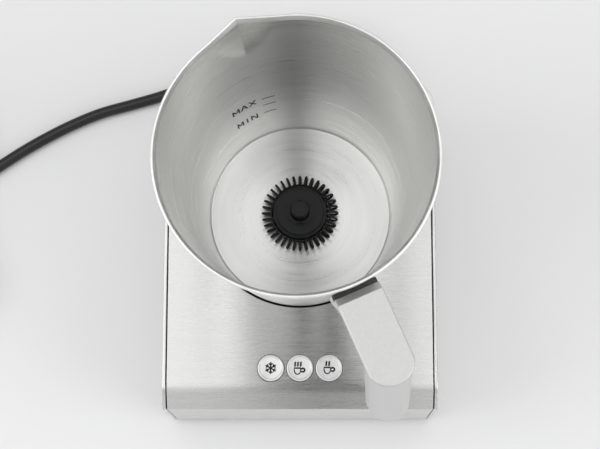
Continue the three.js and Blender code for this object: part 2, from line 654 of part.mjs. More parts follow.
add(machine, 'fan_frame', fanFrame(), blackPlastic);
add(machine, 'fan_impeller', fanImpeller(), blackPlastic);
add(machine, 'power_board', powerBoard(), circuitGreen);
add(machine, 'bulk_capacitor', bulkCapacitor(), blackPlastic);
add(machine, 'mains_choke', mainsChoke(), copper);
add(machine, 'heat_sink', heatSink(), polishedSteel);
add(machine, 'control_board', controlBoard(), circuitGreen);
add(machine, 'button_guide', buttonGuide(), blackPlastic);
const buttonNames = ['cold', 'froth', 'warm'];
buttonPlaces.forEach((x, i) => {
  add(machine, `tact_switch_${buttonNames[i]}`, tactSwitch(x), greyPlastic);
  add(machine, `button_${buttonNames[i]}`, button(x), silverCap);
});

add(machine, 'jug_shell', jugShell(), brushedSteel);
add(machine, 'handle', handle(), brushedSteel);
add(machine, 'whisk_spindle', whiskSpindle(), polishedSteel);
add(machine, 'whisk_bush', whiskBush(), greyPlastic);
add(machine, 'whisk_hub', whiskHub(), blackPlastic);
add(machine, 'whisk_ring', whiskRing(), blackPlastic);
magnetPlaces.forEach((x, i) => add(machine, `whisk_magnet_${i + 1}`, whiskMagnet(x), magnetNickel));

add(lead, 'cord_strain_relief', strainRelief(), blackRubber);
add(lead, 'power_cord', tube(CORD_ROUTE, 8, 28), blackRubber);
add(lead, 'cord_coil', cordCoil(), blackRubber);
add(lead, 'cord_tail', tube(TAIL_ROUTE, 8, 4), blackRubber);
const plug = new THREE.Group();
add(plug, 'plug_body', plugBody(), blackRubber);
add(plug, 'plug_pin_1', plugPin(-9.5), polishedSteel);
add(plug, 'plug_pin_2', plugPin(9.5), polishedSteel);
plug.position.set(-157.2, 3.9, 0);
plug.rotation.z = PLUG_TURN;
lead.add(plug);

const box = new THREE.Box3().setFromObject(machine);
const group = new THREE.Group();
group.add(machine, lead);
group.position.set(-(box.min.x + box.max.x) / 2, -(box.min.y + box.max.y) / 2, -box.min.z);

export default group;
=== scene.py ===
"""Looks of the induction milk frother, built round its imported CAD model.

Every shape is written in millimetres from the jug's axis at table level, with +Z up and -Y
the front, and is moved to the row frame, in metres, when its mesh is made.
"""

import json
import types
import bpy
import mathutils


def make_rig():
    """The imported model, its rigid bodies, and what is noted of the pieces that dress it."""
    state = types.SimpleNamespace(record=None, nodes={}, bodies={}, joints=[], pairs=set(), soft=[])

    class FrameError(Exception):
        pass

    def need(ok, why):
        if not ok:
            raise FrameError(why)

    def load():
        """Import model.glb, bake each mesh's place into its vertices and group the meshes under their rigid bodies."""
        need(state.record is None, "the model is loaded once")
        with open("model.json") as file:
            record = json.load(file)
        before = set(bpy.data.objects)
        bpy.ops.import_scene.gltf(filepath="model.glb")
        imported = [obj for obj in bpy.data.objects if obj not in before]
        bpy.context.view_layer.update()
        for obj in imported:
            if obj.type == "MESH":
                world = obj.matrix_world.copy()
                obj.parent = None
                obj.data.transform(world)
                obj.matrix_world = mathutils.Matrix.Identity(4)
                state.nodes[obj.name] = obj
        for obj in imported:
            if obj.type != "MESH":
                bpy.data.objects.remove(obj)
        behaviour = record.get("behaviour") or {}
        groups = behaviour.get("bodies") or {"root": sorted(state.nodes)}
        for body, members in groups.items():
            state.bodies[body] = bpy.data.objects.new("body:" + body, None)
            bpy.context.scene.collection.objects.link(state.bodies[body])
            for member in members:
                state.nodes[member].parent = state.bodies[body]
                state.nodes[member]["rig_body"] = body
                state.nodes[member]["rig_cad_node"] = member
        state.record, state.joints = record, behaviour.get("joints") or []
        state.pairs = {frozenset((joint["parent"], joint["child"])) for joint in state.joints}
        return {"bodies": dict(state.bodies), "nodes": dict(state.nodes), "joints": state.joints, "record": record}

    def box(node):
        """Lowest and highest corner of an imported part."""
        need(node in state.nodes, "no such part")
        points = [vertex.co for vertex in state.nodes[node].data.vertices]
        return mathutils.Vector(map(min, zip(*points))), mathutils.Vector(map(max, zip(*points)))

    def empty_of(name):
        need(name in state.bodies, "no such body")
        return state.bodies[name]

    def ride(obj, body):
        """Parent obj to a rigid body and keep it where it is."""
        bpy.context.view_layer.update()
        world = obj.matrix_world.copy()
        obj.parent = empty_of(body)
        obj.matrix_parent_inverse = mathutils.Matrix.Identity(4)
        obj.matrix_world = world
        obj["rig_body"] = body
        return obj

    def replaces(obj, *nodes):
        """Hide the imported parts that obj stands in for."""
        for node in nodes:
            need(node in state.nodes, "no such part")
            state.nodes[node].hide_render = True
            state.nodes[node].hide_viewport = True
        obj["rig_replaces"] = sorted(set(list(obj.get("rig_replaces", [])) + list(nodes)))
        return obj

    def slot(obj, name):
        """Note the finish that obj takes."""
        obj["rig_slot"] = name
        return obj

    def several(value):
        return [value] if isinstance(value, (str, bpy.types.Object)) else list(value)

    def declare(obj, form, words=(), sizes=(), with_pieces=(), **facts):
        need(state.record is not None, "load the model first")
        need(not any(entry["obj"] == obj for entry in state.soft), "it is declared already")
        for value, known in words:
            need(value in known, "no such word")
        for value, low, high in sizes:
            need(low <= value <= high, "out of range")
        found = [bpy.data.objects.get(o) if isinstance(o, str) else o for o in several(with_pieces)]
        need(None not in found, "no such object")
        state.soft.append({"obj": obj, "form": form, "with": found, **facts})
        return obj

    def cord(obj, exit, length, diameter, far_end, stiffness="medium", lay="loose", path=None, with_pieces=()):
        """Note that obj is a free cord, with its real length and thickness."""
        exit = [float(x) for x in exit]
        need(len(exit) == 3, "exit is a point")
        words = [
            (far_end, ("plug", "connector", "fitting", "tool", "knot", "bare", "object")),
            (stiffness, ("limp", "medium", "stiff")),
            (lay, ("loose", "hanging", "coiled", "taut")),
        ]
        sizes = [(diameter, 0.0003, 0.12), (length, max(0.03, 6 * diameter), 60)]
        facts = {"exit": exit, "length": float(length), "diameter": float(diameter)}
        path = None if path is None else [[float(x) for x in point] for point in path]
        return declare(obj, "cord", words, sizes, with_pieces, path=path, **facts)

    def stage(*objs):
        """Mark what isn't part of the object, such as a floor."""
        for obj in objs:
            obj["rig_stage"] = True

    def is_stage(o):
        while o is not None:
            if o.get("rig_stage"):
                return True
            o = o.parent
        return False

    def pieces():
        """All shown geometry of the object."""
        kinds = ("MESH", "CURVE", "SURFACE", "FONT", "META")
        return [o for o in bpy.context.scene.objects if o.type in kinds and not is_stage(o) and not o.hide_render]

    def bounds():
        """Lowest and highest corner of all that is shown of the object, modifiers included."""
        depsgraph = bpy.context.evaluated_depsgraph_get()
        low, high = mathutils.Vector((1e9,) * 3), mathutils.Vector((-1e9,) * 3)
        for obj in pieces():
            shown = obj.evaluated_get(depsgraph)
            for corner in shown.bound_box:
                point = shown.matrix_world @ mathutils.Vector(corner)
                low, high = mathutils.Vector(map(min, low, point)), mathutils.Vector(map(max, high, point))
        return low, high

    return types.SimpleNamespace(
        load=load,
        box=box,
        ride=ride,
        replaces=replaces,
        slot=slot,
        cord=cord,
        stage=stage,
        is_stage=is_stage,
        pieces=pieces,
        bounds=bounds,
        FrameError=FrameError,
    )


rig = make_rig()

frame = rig.load()

import json
import math

import bmesh
import bpy
from mathutils import Matrix, Vector

MM = 0.001
TAU = 2 * math.pi
CAD_BOX = [list(corner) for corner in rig.bounds()]

# ---- Driving dimensions, in millimetres ------------------------------------------------


def span(node):
    """Lowest and highest corner of a CAD node, in millimetres of the row frame."""
    low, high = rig.box(node)
    return low / MM, high / MM


hub_low, hub_high = span("whisk_hub")
AXIS_Y = (hub_low.y + hub_high.y) / 2


def plan_middle(low, high):
    """Middle of a box seen from above, counted from the jug's axis."""
    return (low.x + high.x) / 2, (low.y + high.y) / 2 - AXIS_Y


cover_low, cover_high = span("top_cover")
TOP_Z = cover_high.z
BOTTOM_Z = cover_low.z
FRONT_Y = cover_low.y - AXIS_Y
SHEET_REAR_Y = cover_high.y - AXIS_Y
SHEET_HALF_WIDTH = cover_high.x + 0.15
SHEET_THICKNESS = 1.2
BEND_Y = FRONT_Y + 8.2
BEND_RADIUS = 10
FRONT_EDGE_Z = TOP_Z - 4.3

skirt_high = span("body_skirt")[1]
SKIRT_HALF_WIDTH = skirt_high.x
SKIRT_REAR_Y = skirt_high.y - AXIS_Y
SKIRT_THICKNESS = 1.4
REAR_CORNER_RADIUS = 10
SHEET_CORNER_RADIUS = 8

WELL_HOLE_RADIUS = 40.2
WELL_RADIUS = 40.4
WELL_FLOOR_Z = 51

jug_low, jug_high = span("jug_shell")
JUG_BOTTOM_Z = jug_low.z
JUG_RIM_Z = jug_high.z
JUG_FLOOR_Z = JUG_BOTTOM_Z + 1.2
JUG_FLOOR_RADIUS = 37.5
JUG_RIM_RADIUS = 50
JUG_WALL = 0.9
LIP_WIDTH = 1.5
LIP_FLARE = 2.0
SPOUT_REACH = 3.3
SPOUT_DEPTH = 25
SPOUT_HALF_ANGLE = math.radians(16)

HANDLE_ANGLE = math.radians(23.7)
HANDLE_HALF_WIDTH = 8.6
HANDLE_END_RADIUS = 9
HANDLE_END = 80
HANDLE_TOP = -1.8
HANDLE_PLATE = 3.4
GRIP_BOTTOM = -86
GRIP_LEAN = 0.08
GRIP_INNER = 3.6
# Handle faces inside this radius and above this height take a dark steel: painted shade of the gap between the rim and
# the strap.
SLOT_SHADE_RADIUS = 52.85
SLOT_SHADE_LOW_Z = 150

WHISK_HUB_RADIUS = 11.2
WHISK_LOOPS = 36
WHISK_BOTTOM_Z = hub_low.z

button_low, button_high = span("button_froth")
BUTTON_RADIUS = (button_high.x - button_low.x) / 2
BUTTON_Y = plan_middle(button_low, button_high)[1]
BUTTON_TOP_Z = button_high.z

boot_low, boot_high = span("cord_strain_relief")
CORD_RADIUS = 2.5
CORD_EXIT_X = plan_middle(boot_low, boot_high)[0]
CORD_EXIT_Z = (boot_low.z + boot_high.z) / 2
BOOT_END_Y = boot_high.y - AXIS_Y

COIL_X, COIL_Y = plan_middle(*span("cord_coil"))


# ---- Mesh helpers ----------------------------------------------------------------------


def to_row(x, y, z):
    """A point in millimetres from the jug's axis, as a point of the row frame in metres."""
    return Vector((x * MM, (y + AXIS_Y) * MM, z * MM))


def in_scene(name, data):
    """A new object of the scene, from a mesh, lamp or camera."""
    made = bpy.data.objects.new(name, data)
    bpy.context.scene.collection.objects.link(made)
    return made


def mesh_object(name, points, faces):
    """A new object from points in millimetres from the jug's axis."""
    mesh = bpy.data.meshes.new(name)
    mesh.from_pydata([to_row(*p) for p in points], [], faces)
    mesh.update()
    made = in_scene(name, mesh)
    fix_normals(made)
    return made


def moved(thing, place, turn):
    """Turns a mesh about the jug's axis at table level and carries it to a place."""
    thing.data.transform(Matrix.Translation(to_row(*place)) @ turn
                         @ Matrix.Translation(-to_row(0, 0, 0)))
    return thing


def fix_normals(thing):
    """Merges doubled points and turns every face outwards."""
    work = bmesh.new()
    work.from_mesh(thing.data)
    bmesh.ops.remove_doubles(work, verts=work.verts, dist=1e-7)
    bmesh.ops.dissolve_degenerate(work, edges=work.edges, dist=1e-7)
    bmesh.ops.recalc_face_normals(work, faces=work.faces)
    work.to_mesh(thing.data)
    work.free()


def smooth(thing, angle=30):
    """Smooth faces, with sharp edges where two faces meet at more than the angle."""
    work = bmesh.new()
    work.from_mesh(thing.data)
    limit = math.radians(angle)
    for face in work.faces:
        face.smooth = True
    for edge in work.edges:
        sharp = len(edge.link_faces) == 2 and edge.calc_face_angle(0) > limit
        edge.smooth = not sharp
    work.to_mesh(thing.data)
    work.free()
    return thing


def apply_modifiers(thing):
    """Replaces an object's mesh by its evaluated one."""
    bpy.context.view_layer.update()
    graph = bpy.context.evaluated_depsgraph_get()
    final = bpy.data.meshes.new_from_object(thing.evaluated_get(graph))
    thing.modifiers.clear()
    thing.data = final
    return thing


def boolean(body, tool, operation="DIFFERENCE"):
    """Cuts, joins or intersects two solids and removes the tool."""
    step = body.modifiers.new("boolean", "BOOLEAN")
    step.operation = operation
    step.solver = "EXACT"
    step.object = tool
    apply_modifiers(body)
    bpy.data.objects.remove(tool)
    fix_normals(body)
    return body


def even_normals(thing):
    """Keeps broad flat faces flat where they meet rounded edges."""
    step = thing.modifiers.new("even_normals", "WEIGHTED_NORMAL")
    step.weight = 100
    step.keep_sharp = True
    return thing


def bevelled(thing, width, segments=3, angle=30):
    """Rounds the edges that are sharper than the angle; the width is in millimetres."""
    step = thing.modifiers.new("bevel", "BEVEL")
    step.width = width * MM
    step.segments = segments
    step.limit_method = "ANGLE"
    step.angle_limit = math.radians(angle)
    step.use_clamp_overlap = False
    step.harden_normals = True
    smooth(thing, 180)
    return even_normals(thing)


def filleted(corners, steps=6):
    """An outline from (u, v) or (u, v, radius) corners, the latter rounded by an arc."""
    points = []
    count = len(corners)
    for i, corner in enumerate(corners):
        here = Vector(corner[:2])
        radius = corner[2] if len(corner) > 2 else 0
        if radius == 0:
            points.append(tuple(here))
            continue
        before = (Vector(corners[i - 1][:2]) - here).normalized()
        after = (Vector(corners[(i + 1) % count][:2]) - here).normalized()
        half = before.angle(after) / 2
        reach = radius / math.tan(half)
        centre = here + (before + after).normalized() * (radius / math.sin(half))
        start = here + before * reach - centre
        turn = math.pi - 2 * half
        side = 1 if start.cross(here + after * reach - centre) > 0 else -1
        for k in range(steps + 1):
            angle = side * turn * k / steps
            cosine, sine = math.cos(angle), math.sin(angle)
            points.append((
                centre.x + start.x * cosine - start.y * sine,
                centre.y + start.x * sine + start.y * cosine,
            ))
    return points


def turned(name, profile, segments=96, centre=(0, 0), shape=None, angles=None):
    """A solid of revolution. The profile runs from the axis, out, and back to the axis, or
    closes on itself; shape(x, y, z) may move each point, counted from the centre."""
    closed = profile[0][0] > 1e-6
    if angles is None:
        angles = [TAU * i / segments for i in range(segments)]
    segments = len(angles)
    points, rings = [], []
    for radius, z in profile:
        ring = []
        for angle in angles[:1] if radius < 1e-6 else angles:
            place = (radius * math.cos(angle), radius * math.sin(angle), z)
            if shape is not None:
                place = shape(*place)
            ring.append(len(points))
            points.append((place[0] + centre[0], place[1] + centre[1], place[2]))
        rings.append(ring)
    faces = []
    pairs = list(zip(rings, rings[1:]))
    if closed:
        pairs.append((rings[-1], rings[0]))
    for low, high in pairs:
        for i in range(segments):
            j = (i + 1) % segments
            if len(low) == 1 and len(high) == 1:
                continue
            if len(low) == 1:
                faces.append((low[0], high[j], high[i]))
            elif len(high) == 1:
                faces.append((low[i], low[j], high[0]))
            else:
                faces.append((low[i], low[j], high[j], high[i]))
    return mesh_object(name, points, faces)


def extruded(name, outline, low, high, axis="Z"):
    """A solid from a plan outline between two heights, or, along X, from a (y, z) outline."""
    count = len(outline)
    place = {
        "Z": lambda u, v, w: (u, v, w),
        "X": lambda u, v, w: (w, u, v),
    }[axis]
    points = [place(u, v, w) for w in (low, high) for u, v in outline]
    faces = [tuple(range(count))[::-1], tuple(range(count, 2 * count))]
    faces += [(i, (i + 1) % count, count + (i + 1) % count, count + i) for i in range(count)]
    return mesh_object(name, points, faces)


def cylinder(radius, low, high, x, y, segments=96):
    return turned("tool", [(0, low), (radius, low), (radius, high), (0, high)], segments, (x, y))


def box_solid(x0, x1, y0, y1, z0, z1):
    return extruded("tool", [(x0, y0), (x1, y0), (x1, y1), (x0, y1)], z0, z1)


def swept(name, path, radius, sides=12, closed=False, squeeze=1.0):
    """A round bar along a line of points; squeeze flattens its section upwards."""
    count = len(path)
    line = [Vector(p) for p in path]
    points, rings = [], []
    side = None
    for i, here in enumerate(line):
        if closed:
            ahead = line[(i + 1) % count] - line[i - 1]
        else:
            ahead = line[min(i + 1, count - 1)] - line[max(i - 1, 0)]
        ahead.normalize()
        guess = side if side is not None else ahead.cross(Vector((0.1, 0.2, 1)))
        side = (guess - ahead * guess.dot(ahead)).normalized()
        up = ahead.cross(side)
        ring = []
        for k in range(sides):
            angle = TAU * k / sides
            ring.append(len(points))
            offset = side * math.cos(angle) + up * math.sin(angle) * squeeze
            points.append(here + offset * radius)
        rings.append(ring)
    faces = []
    pairs = list(zip(rings, rings[1:]))
    if closed:
        pairs.append((rings[-1], rings[0]))
    for low, high in pairs:
        for k in range(sides):
            m = (k + 1) % sides
            faces.append((low[k], low[m], high[m], high[k]))
    if not closed:
        faces += [tuple(rings[0])[::-1], tuple(rings[-1])]
    return mesh_object(name, points, faces)


def joined(name, parts):
    """One object from several, for loose pieces of one moulding."""
    work = bmesh.new()
    for part in parts:
        work.from_mesh(part.data)
        bpy.data.objects.remove(part)
    mesh = bpy.data.meshes.new(name)
    work.to_mesh(mesh)
    work.free()
    return in_scene(name, mesh)


def catmull(points, step):
    """Points about every `step` along a centripetal Catmull-Rom curve through the given ones."""
    line = [Vector(p) for p in points]
    line = [2 * line[0] - line[1], *line, 2 * line[-1] - line[-2]]
    found = []
    for a, b, c, d in zip(line, line[1:], line[2:], line[3:]):
        t0 = 0
        t1 = t0 + (b - a).length ** 0.5
        t2 = t1 + (c - b).length ** 0.5
        t3 = t2 + (d - c).length ** 0.5
        pieces = max(2, round((c - b).length / step))
        for k in range(pieces):
            t = t1 + (t2 - t1) * k / pieces
            ab = a * ((t1 - t) / (t1 - t0)) + b * ((t - t0) / (t1 - t0))
            bc = b * ((t2 - t) / (t2 - t1)) + c * ((t - t1) / (t2 - t1))
            cd = c * ((t3 - t) / (t3 - t2)) + d * ((t - t2) / (t3 - t2))
            abc = ab * ((t2 - t) / (t2 - t0)) + bc * ((t - t0) / (t2 - t0))
            bcd = bc * ((t3 - t) / (t3 - t1)) + cd * ((t - t1) / (t3 - t1))
            found.append(abc * ((t2 - t) / (t2 - t1)) + bcd * ((t - t1) / (t2 - t1)))
    found.append(line[-2])
    return found


# ---- Material helpers ------------------------------------------------------------------


class Nodes:
    """Short hand for building one material's node tree."""

    def __init__(self, name):
        self.material = bpy.data.materials.new(name)
        self.material.use_nodes = True
        self.tree = self.material.node_tree
        self.shader = self.tree.nodes["Principled BSDF"]

    def add(self, kind, **settings):
        node = self.tree.nodes.new(kind)
        for key, value in settings.items():
            setattr(node, key, value)
        return node

    def link(self, source, target):
        self.tree.links.new(source, target)

    def set(self, **values):
        for key, value in values.items():
            self.shader.inputs[key.replace("_", " ")].default_value = value

    def place(self):
        """Object coordinates, in metres of the row frame at rest."""
        return self.add("ShaderNodeTexCoord").outputs["Object"]

    def away_from(self, x, y):
        """Object coordinates counted from the upright axis through (x, y), in metres."""
        away = self.add("ShaderNodeVectorMath", operation="SUBTRACT")
        away.inputs[1].default_value = (x, y, 0)
        self.link(self.place(), away.inputs[0])
        return away.outputs[0]

    def blend(self, first, second, share):
        """Sum of two values, the first counting by its share and the second by the rest."""
        return self.maths("ADD", self.maths("MULTIPLY", first, share),
                          self.maths("MULTIPLY", second, 1 - share))

    def maths(self, operation, first, second=None):
        node = self.add("ShaderNodeMath", operation=operation)
        for slot, value in zip(node.inputs, (first, second)):
            if value is None:
                continue
            if isinstance(value, (int, float)):
                slot.default_value = value
            else:
                self.link(value, slot)
        return node.outputs[0]

    def scaled(self, vector, scale):
        node = self.add("ShaderNodeMapping")
        node.inputs["Scale"].default_value = scale
        self.link(vector, node.inputs["Vector"])
        return node.outputs["Vector"]

    def noise(self, vector, scale, detail=2.0, roughness=0.5):
        node = self.add("ShaderNodeTexNoise")
        node.inputs["Scale"].default_value = scale
        node.inputs["Detail"].default_value = detail
        node.inputs["Roughness"].default_value = roughness
        self.link(vector, node.inputs["Vector"])
        return node.outputs["Fac"]

    def ranged(self, value, low, high, start=0.0, end=1.0):
        node = self.add("ShaderNodeMapRange")
        node.inputs["From Min"].default_value = start
        node.inputs["From Max"].default_value = end
        node.inputs["To Min"].default_value = low
        node.inputs["To Max"].default_value = high
        self.link(value, node.inputs["Value"])
        return node.outputs["Result"]

    def ramp(self, value, *stops):
        node = self.add("ShaderNodeValToRGB")
        band = node.color_ramp
        while len(band.elements) < len(stops):
            band.elements.new(0.5)
        for element, (position, color) in zip(band.elements, stops):
            element.position = position
            element.color = (*color, 1)
        self.link(value, node.inputs["Fac"])
        return node.outputs["Color"]

    def bump(self, height, distance, strength=1.0):
        node = self.add("ShaderNodeBump")
        node.inputs["Strength"].default_value = strength
        node.inputs["Distance"].default_value = distance
        self.link(height, node.inputs["Height"])
        self.link(node.outputs["Normal"], self.shader.inputs["Normal"])

    def color(self, source):
        self.link(source, self.shader.inputs["Base Color"])

    def roughness(self, source):
        self.link(source, self.shader.inputs["Roughness"])


def shade(value, tint=(1, 1, 1)):
    """A grey, or a tint made darker or lighter."""
    return tuple(value * t for t in tint)


def round_the_axis(nodes, stretch, across):
    """Coordinates whose noise makes fine rings round the jug's axis: on walls they stack
    up the height, and on the floor they spread with the radius."""
    away = nodes.away_from(0, AXIS_Y * MM)
    split = nodes.add("ShaderNodeSeparateXYZ")
    nodes.link(away, split.inputs[0])
    x, y, z = split.outputs
    radius = nodes.maths("SQRT", nodes.maths("ADD", nodes.maths("MULTIPLY", x, x),
                                             nodes.maths("MULTIPLY", y, y)))
    floor_radius = nodes.maths("MULTIPLY", radius, across)
    height = nodes.maths("MULTIPLY", z, across)
    safe = nodes.maths("MAXIMUM", radius, 1e-5)
    join = nodes.add("ShaderNodeCombineXYZ")
    nodes.link(nodes.maths("MULTIPLY", nodes.maths("DIVIDE", x, safe), stretch), join.inputs[0])
    nodes.link(nodes.maths("MULTIPLY", nodes.maths("DIVIDE", y, safe), stretch), join.inputs[1])
    nodes.link(nodes.maths("ADD", floor_radius, height), join.inputs[2])
    return join.outputs[0], away


def tangent_round(nodes, away):
    """Tangent running round the jug's axis, for the anisotropic shine of its brushing."""
    cross = nodes.add("ShaderNodeVectorMath", operation="CROSS_PRODUCT")
    cross.inputs[0].default_value = (0, 0, 1)
    nodes.link(away, cross.inputs[1])
    tangent_along(nodes, cross.outputs[0])


def tangent_along(nodes, direction):
    """Tangent in one direction, or in the direction that a node gives."""
    turn = nodes.add("ShaderNodeVectorTransform", vector_type="VECTOR",
                     convert_from="OBJECT", convert_to="WORLD")
    if isinstance(direction, tuple):
        turn.inputs[0].default_value = direction
    else:
        nodes.link(direction, turn.inputs[0])
    nodes.link(turn.outputs[0], nodes.shader.inputs["Tangent"])


# ---- Materials -------------------------------------------------------------------------


def brushed_steel(name, stretch, tone, rough, direction=None, grain=0.0, aniso=0.7):
    """Sheet steel brushed along one direction; stretch scales the noise on each axis."""
    nodes = Nodes(name)
    nodes.set(Metallic=1.0, Anisotropic=aniso, Anisotropic_Rotation=0.25)
    fine = nodes.noise(nodes.scaled(nodes.place(), stretch), 1.0, 3.0, 0.7)
    broad = nodes.noise(nodes.scaled(nodes.place(), shade(0.3, stretch)), 1.0, 2.0)
    mixed = nodes.blend(fine, broad, 0.6)
    nodes.color(nodes.ramp(mixed, (0.3, shade(tone * 0.93, (1, 1, 0.99))),
                           (0.7, shade(tone * 1.05, (1, 1, 0.99)))))
    nodes.roughness(nodes.ranged(mixed, rough - 0.03, rough + 0.05, 0.3, 0.7))
    nodes.bump(fine, grain * MM, 0.3)
    if direction is not None:
        tangent_along(nodes, direction)
    return nodes.material


def jug_steel():
    """Steel brushed in fine rings round the jug, inside and out."""
    nodes = Nodes("jug_steel_brushed")
    nodes.set(Metallic=1.0, Anisotropic=0.8, Anisotropic_Rotation=0.25)
    rings, away = round_the_axis(nodes, 1.4, 2600)
    fine = nodes.noise(rings, 1.0, 3.0, 0.75)
    wide_rings, _ = round_the_axis(nodes, 0.8, 420)
    wide = nodes.noise(wide_rings, 1.0, 2.0)
    mixed = nodes.blend(fine, wide, 0.5)
    nodes.color(nodes.ramp(mixed, (0.3, (0.76, 0.76, 0.745)), (0.7, (0.87, 0.87, 0.855))))
    nodes.roughness(nodes.ranged(mixed, 0.25, 0.35, 0.3, 0.7))
    nodes.bump(mixed, 0.008 * MM, 0.2)
    tangent_round(nodes, away)
    return nodes.material


def plated(name, tint, rough, patch=900):
    """Bright plated metal with faint uneven patches."""
    nodes = Nodes(name)
    nodes.set(Metallic=1.0)
    cloud = nodes.noise(nodes.place(), patch, 4.0, 0.6)
    nodes.color(nodes.ramp(cloud, (0.3, shade(0.92, tint)), (0.7, tint)))
    nodes.roughness(nodes.ranged(cloud, rough * 0.8, rough * 1.3, 0.3, 0.7))
    nodes.bump(cloud, 0.002 * MM, 0.1)
    return nodes.material


def moulded(name, tint, rough, texture=0.02, patch=2600, shine=0.5):
    """Moulded plastic or rubber with a fine spark-eroded texture."""
    nodes = Nodes(name)
    grain = nodes.noise(nodes.place(), patch, 3.0, 0.6)
    cloud = nodes.noise(nodes.place(), 60, 2.0)
    nodes.color(nodes.ramp(cloud, (0.35, shade(0.85, tint)), (0.65, shade(1.12, tint))))
    nodes.roughness(nodes.ranged(grain, rough - 0.06, rough + 0.08, 0.3, 0.7))
    nodes.bump(grain, texture * MM, 0.5)
    nodes.set(Specular_IOR_Level=shine)
    return nodes.material


def wound(name, tint, pitch, centre_x=0.0, centre_y=AXIS_Y * MM):
    """Enamelled wire wound in rings round a vertical axis."""
    nodes = Nodes(name)
    nodes.set(Metallic=0.9)
    flat = nodes.scaled(nodes.away_from(centre_x, centre_y), (1, 1, 0))
    wave = nodes.add("ShaderNodeTexWave", wave_type="RINGS", rings_direction="SPHERICAL")
    wave.inputs["Scale"].default_value = 1 / (pitch * MM) / 3.2
    nodes.link(flat, wave.inputs["Vector"])
    strands = wave.outputs["Fac"]
    nodes.color(nodes.ramp(strands, (0.1, shade(0.35, tint)), (0.6, tint)))
    nodes.roughness(nodes.ranged(strands, 0.5, 0.28))
    nodes.bump(strands, 0.2 * MM, 0.6)
    return nodes.material


def circuit_board():
    """Green solder mask over faint copper tracks."""
    nodes = Nodes("circuit_board")
    cells = nodes.add("ShaderNodeTexVoronoi", distance="MANHATTAN", feature="DISTANCE_TO_EDGE")
    cells.inputs["Scale"].default_value = 260
    nodes.link(nodes.place(), cells.inputs["Vector"])
    track = cells.outputs["Distance"]
    nodes.color(nodes.ramp(track, (0.04, (0.012, 0.10, 0.035)), (0.09, (0.03, 0.21, 0.08))))
    nodes.set(Roughness=0.35)
    nodes.bump(track, 0.03 * MM, 0.4)
    return nodes.material


def ink():
    """Printed dark grey marking ink."""
    nodes = Nodes("marking_ink")
    cloud = nodes.noise(nodes.place(), 1800, 2.0)
    nodes.color(nodes.ramp(cloud, (0.35, (0.012, 0.012, 0.013)), (0.65, (0.025, 0.025, 0.025))))
    nodes.roughness(nodes.ranged(cloud, 0.5, 0.65))
    nodes.set(Specular_IOR_Level=0.2)
    return nodes.material


def spun_cap(name, x, y):
    """Silver cap with a circular spun grain round its own centre."""
    nodes = Nodes(name)
    nodes.set(Metallic=1.0)
    flat = nodes.scaled(nodes.away_from(x * MM, (y + AXIS_Y) * MM), (1, 1, 0))
    length = nodes.add("ShaderNodeVectorMath", operation="LENGTH")
    nodes.link(flat, length.inputs[0])
    join = nodes.add("ShaderNodeCombineXYZ")
    nodes.link(nodes.maths("MULTIPLY", length.outputs["Value"], 6000), join.inputs[0])
    grain = nodes.noise(join.outputs[0], 1.0, 2.0)
    cloud = nodes.noise(nodes.place(), 300, 3.0)
    mixed = nodes.blend(grain, cloud, 0.4)
    nodes.color(nodes.ramp(mixed, (0.3, shade(0.80)), (0.7, shade(0.92))))
    nodes.roughness(nodes.ranged(mixed, 0.34, 0.46, 0.3, 0.7))
    nodes.bump(grain, 0.004 * MM, 0.2)
    return nodes.material


SHEET_STEEL = brushed_steel("sheet_steel", (90, 2400, 2400), 0.67, 0.27, (1, 0, 0), 0.006, 0.95)
SKIRT_STEEL = brushed_steel("skirt_steel_brushed", (60, 60, 4200), 0.72, 0.27, None, 0.02, 0.0)
HANDLE_STEEL = brushed_steel("handle_steel_fine", (2500, 2500, 2500), 0.66, 0.46, None, 0.006, 0.0)
JUG_STEEL = jug_steel()
# Brighter steel for the top of the jug's lip and the buttons' raised rims: a painted highlight where these edges catch
# the light.
RIM_PAINTED_HIGHLIGHT = plated("rim_painted_highlight", (0.95, 0.95, 0.94), 0.40, 90)
# Dark steel for the handle faces beside the gap under the rim: painted shade.
SLOT_PAINTED_SHADE = plated("slot_painted_shade", (0.10, 0.10, 0.10), 0.5)
ZINC = plated("zinc_plate", (0.66, 0.67, 0.68), 0.28)
NICKEL = plated("nickel_plate", (0.74, 0.72, 0.68), 0.16)
EXTRUSION = plated("aluminium_extrusion", (0.70, 0.71, 0.72), 0.34)
BLACK_PLASTIC = moulded("black_moulding", (0.030, 0.031, 0.032), 0.5)
GREY_PLASTIC = moulded("grey_moulding", (0.20, 0.21, 0.22), 0.5)
WHITE_ACETAL = moulded("white_acetal", (0.75, 0.74, 0.70), 0.35)
WHISK_PLASTIC = moulded("whisk_moulding", (0.008, 0.0085, 0.010), 0.42, 0.012, 2600, 0.3)
RUBBER = moulded("foot_rubber", (0.020, 0.020, 0.020), 0.72, 0.03)
BOOT_RUBBER = moulded("boot_rubber", (0.022, 0.022, 0.023), 0.5)
JACKET = moulded("lead_jacket", (0.010, 0.010, 0.0105), 0.30, 0.008)
PLUG_PLASTIC = moulded("plug_moulding", (0.022, 0.022, 0.023), 0.46)
SLEEVE_FILM = moulded("capacitor_film", (0.02, 0.03, 0.08), 0.25)
FERRITE = moulded("fired_ferrite", (0.06, 0.06, 0.065), 0.6, 0.04, 1200)
COIL_COPPER = wound("coil_winding", (0.72, 0.40, 0.20), 1.1)
BOARD = circuit_board()
INK = ink()


def dress(thing, material, body, slot, *nodes):
    """Finishes a piece: its material, the body it rides on, its slot and the CAD it replaces."""
    thing.data.materials.clear()
    thing.data.materials.append(material)
    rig.ride(thing, body)
    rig.slot(thing, slot)
    if nodes:
        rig.replaces(thing, *nodes)
    return thing


def faced(thing, material, chosen):
    """Gives a second material to the faces whose centre, in metres, is a chosen one."""
    thing.data.materials.append(material)
    for face in thing.data.polygons:
        if chosen(face.center):
            face.material_index = 1


# ---- Camera ----------------------------------------------------------------------------


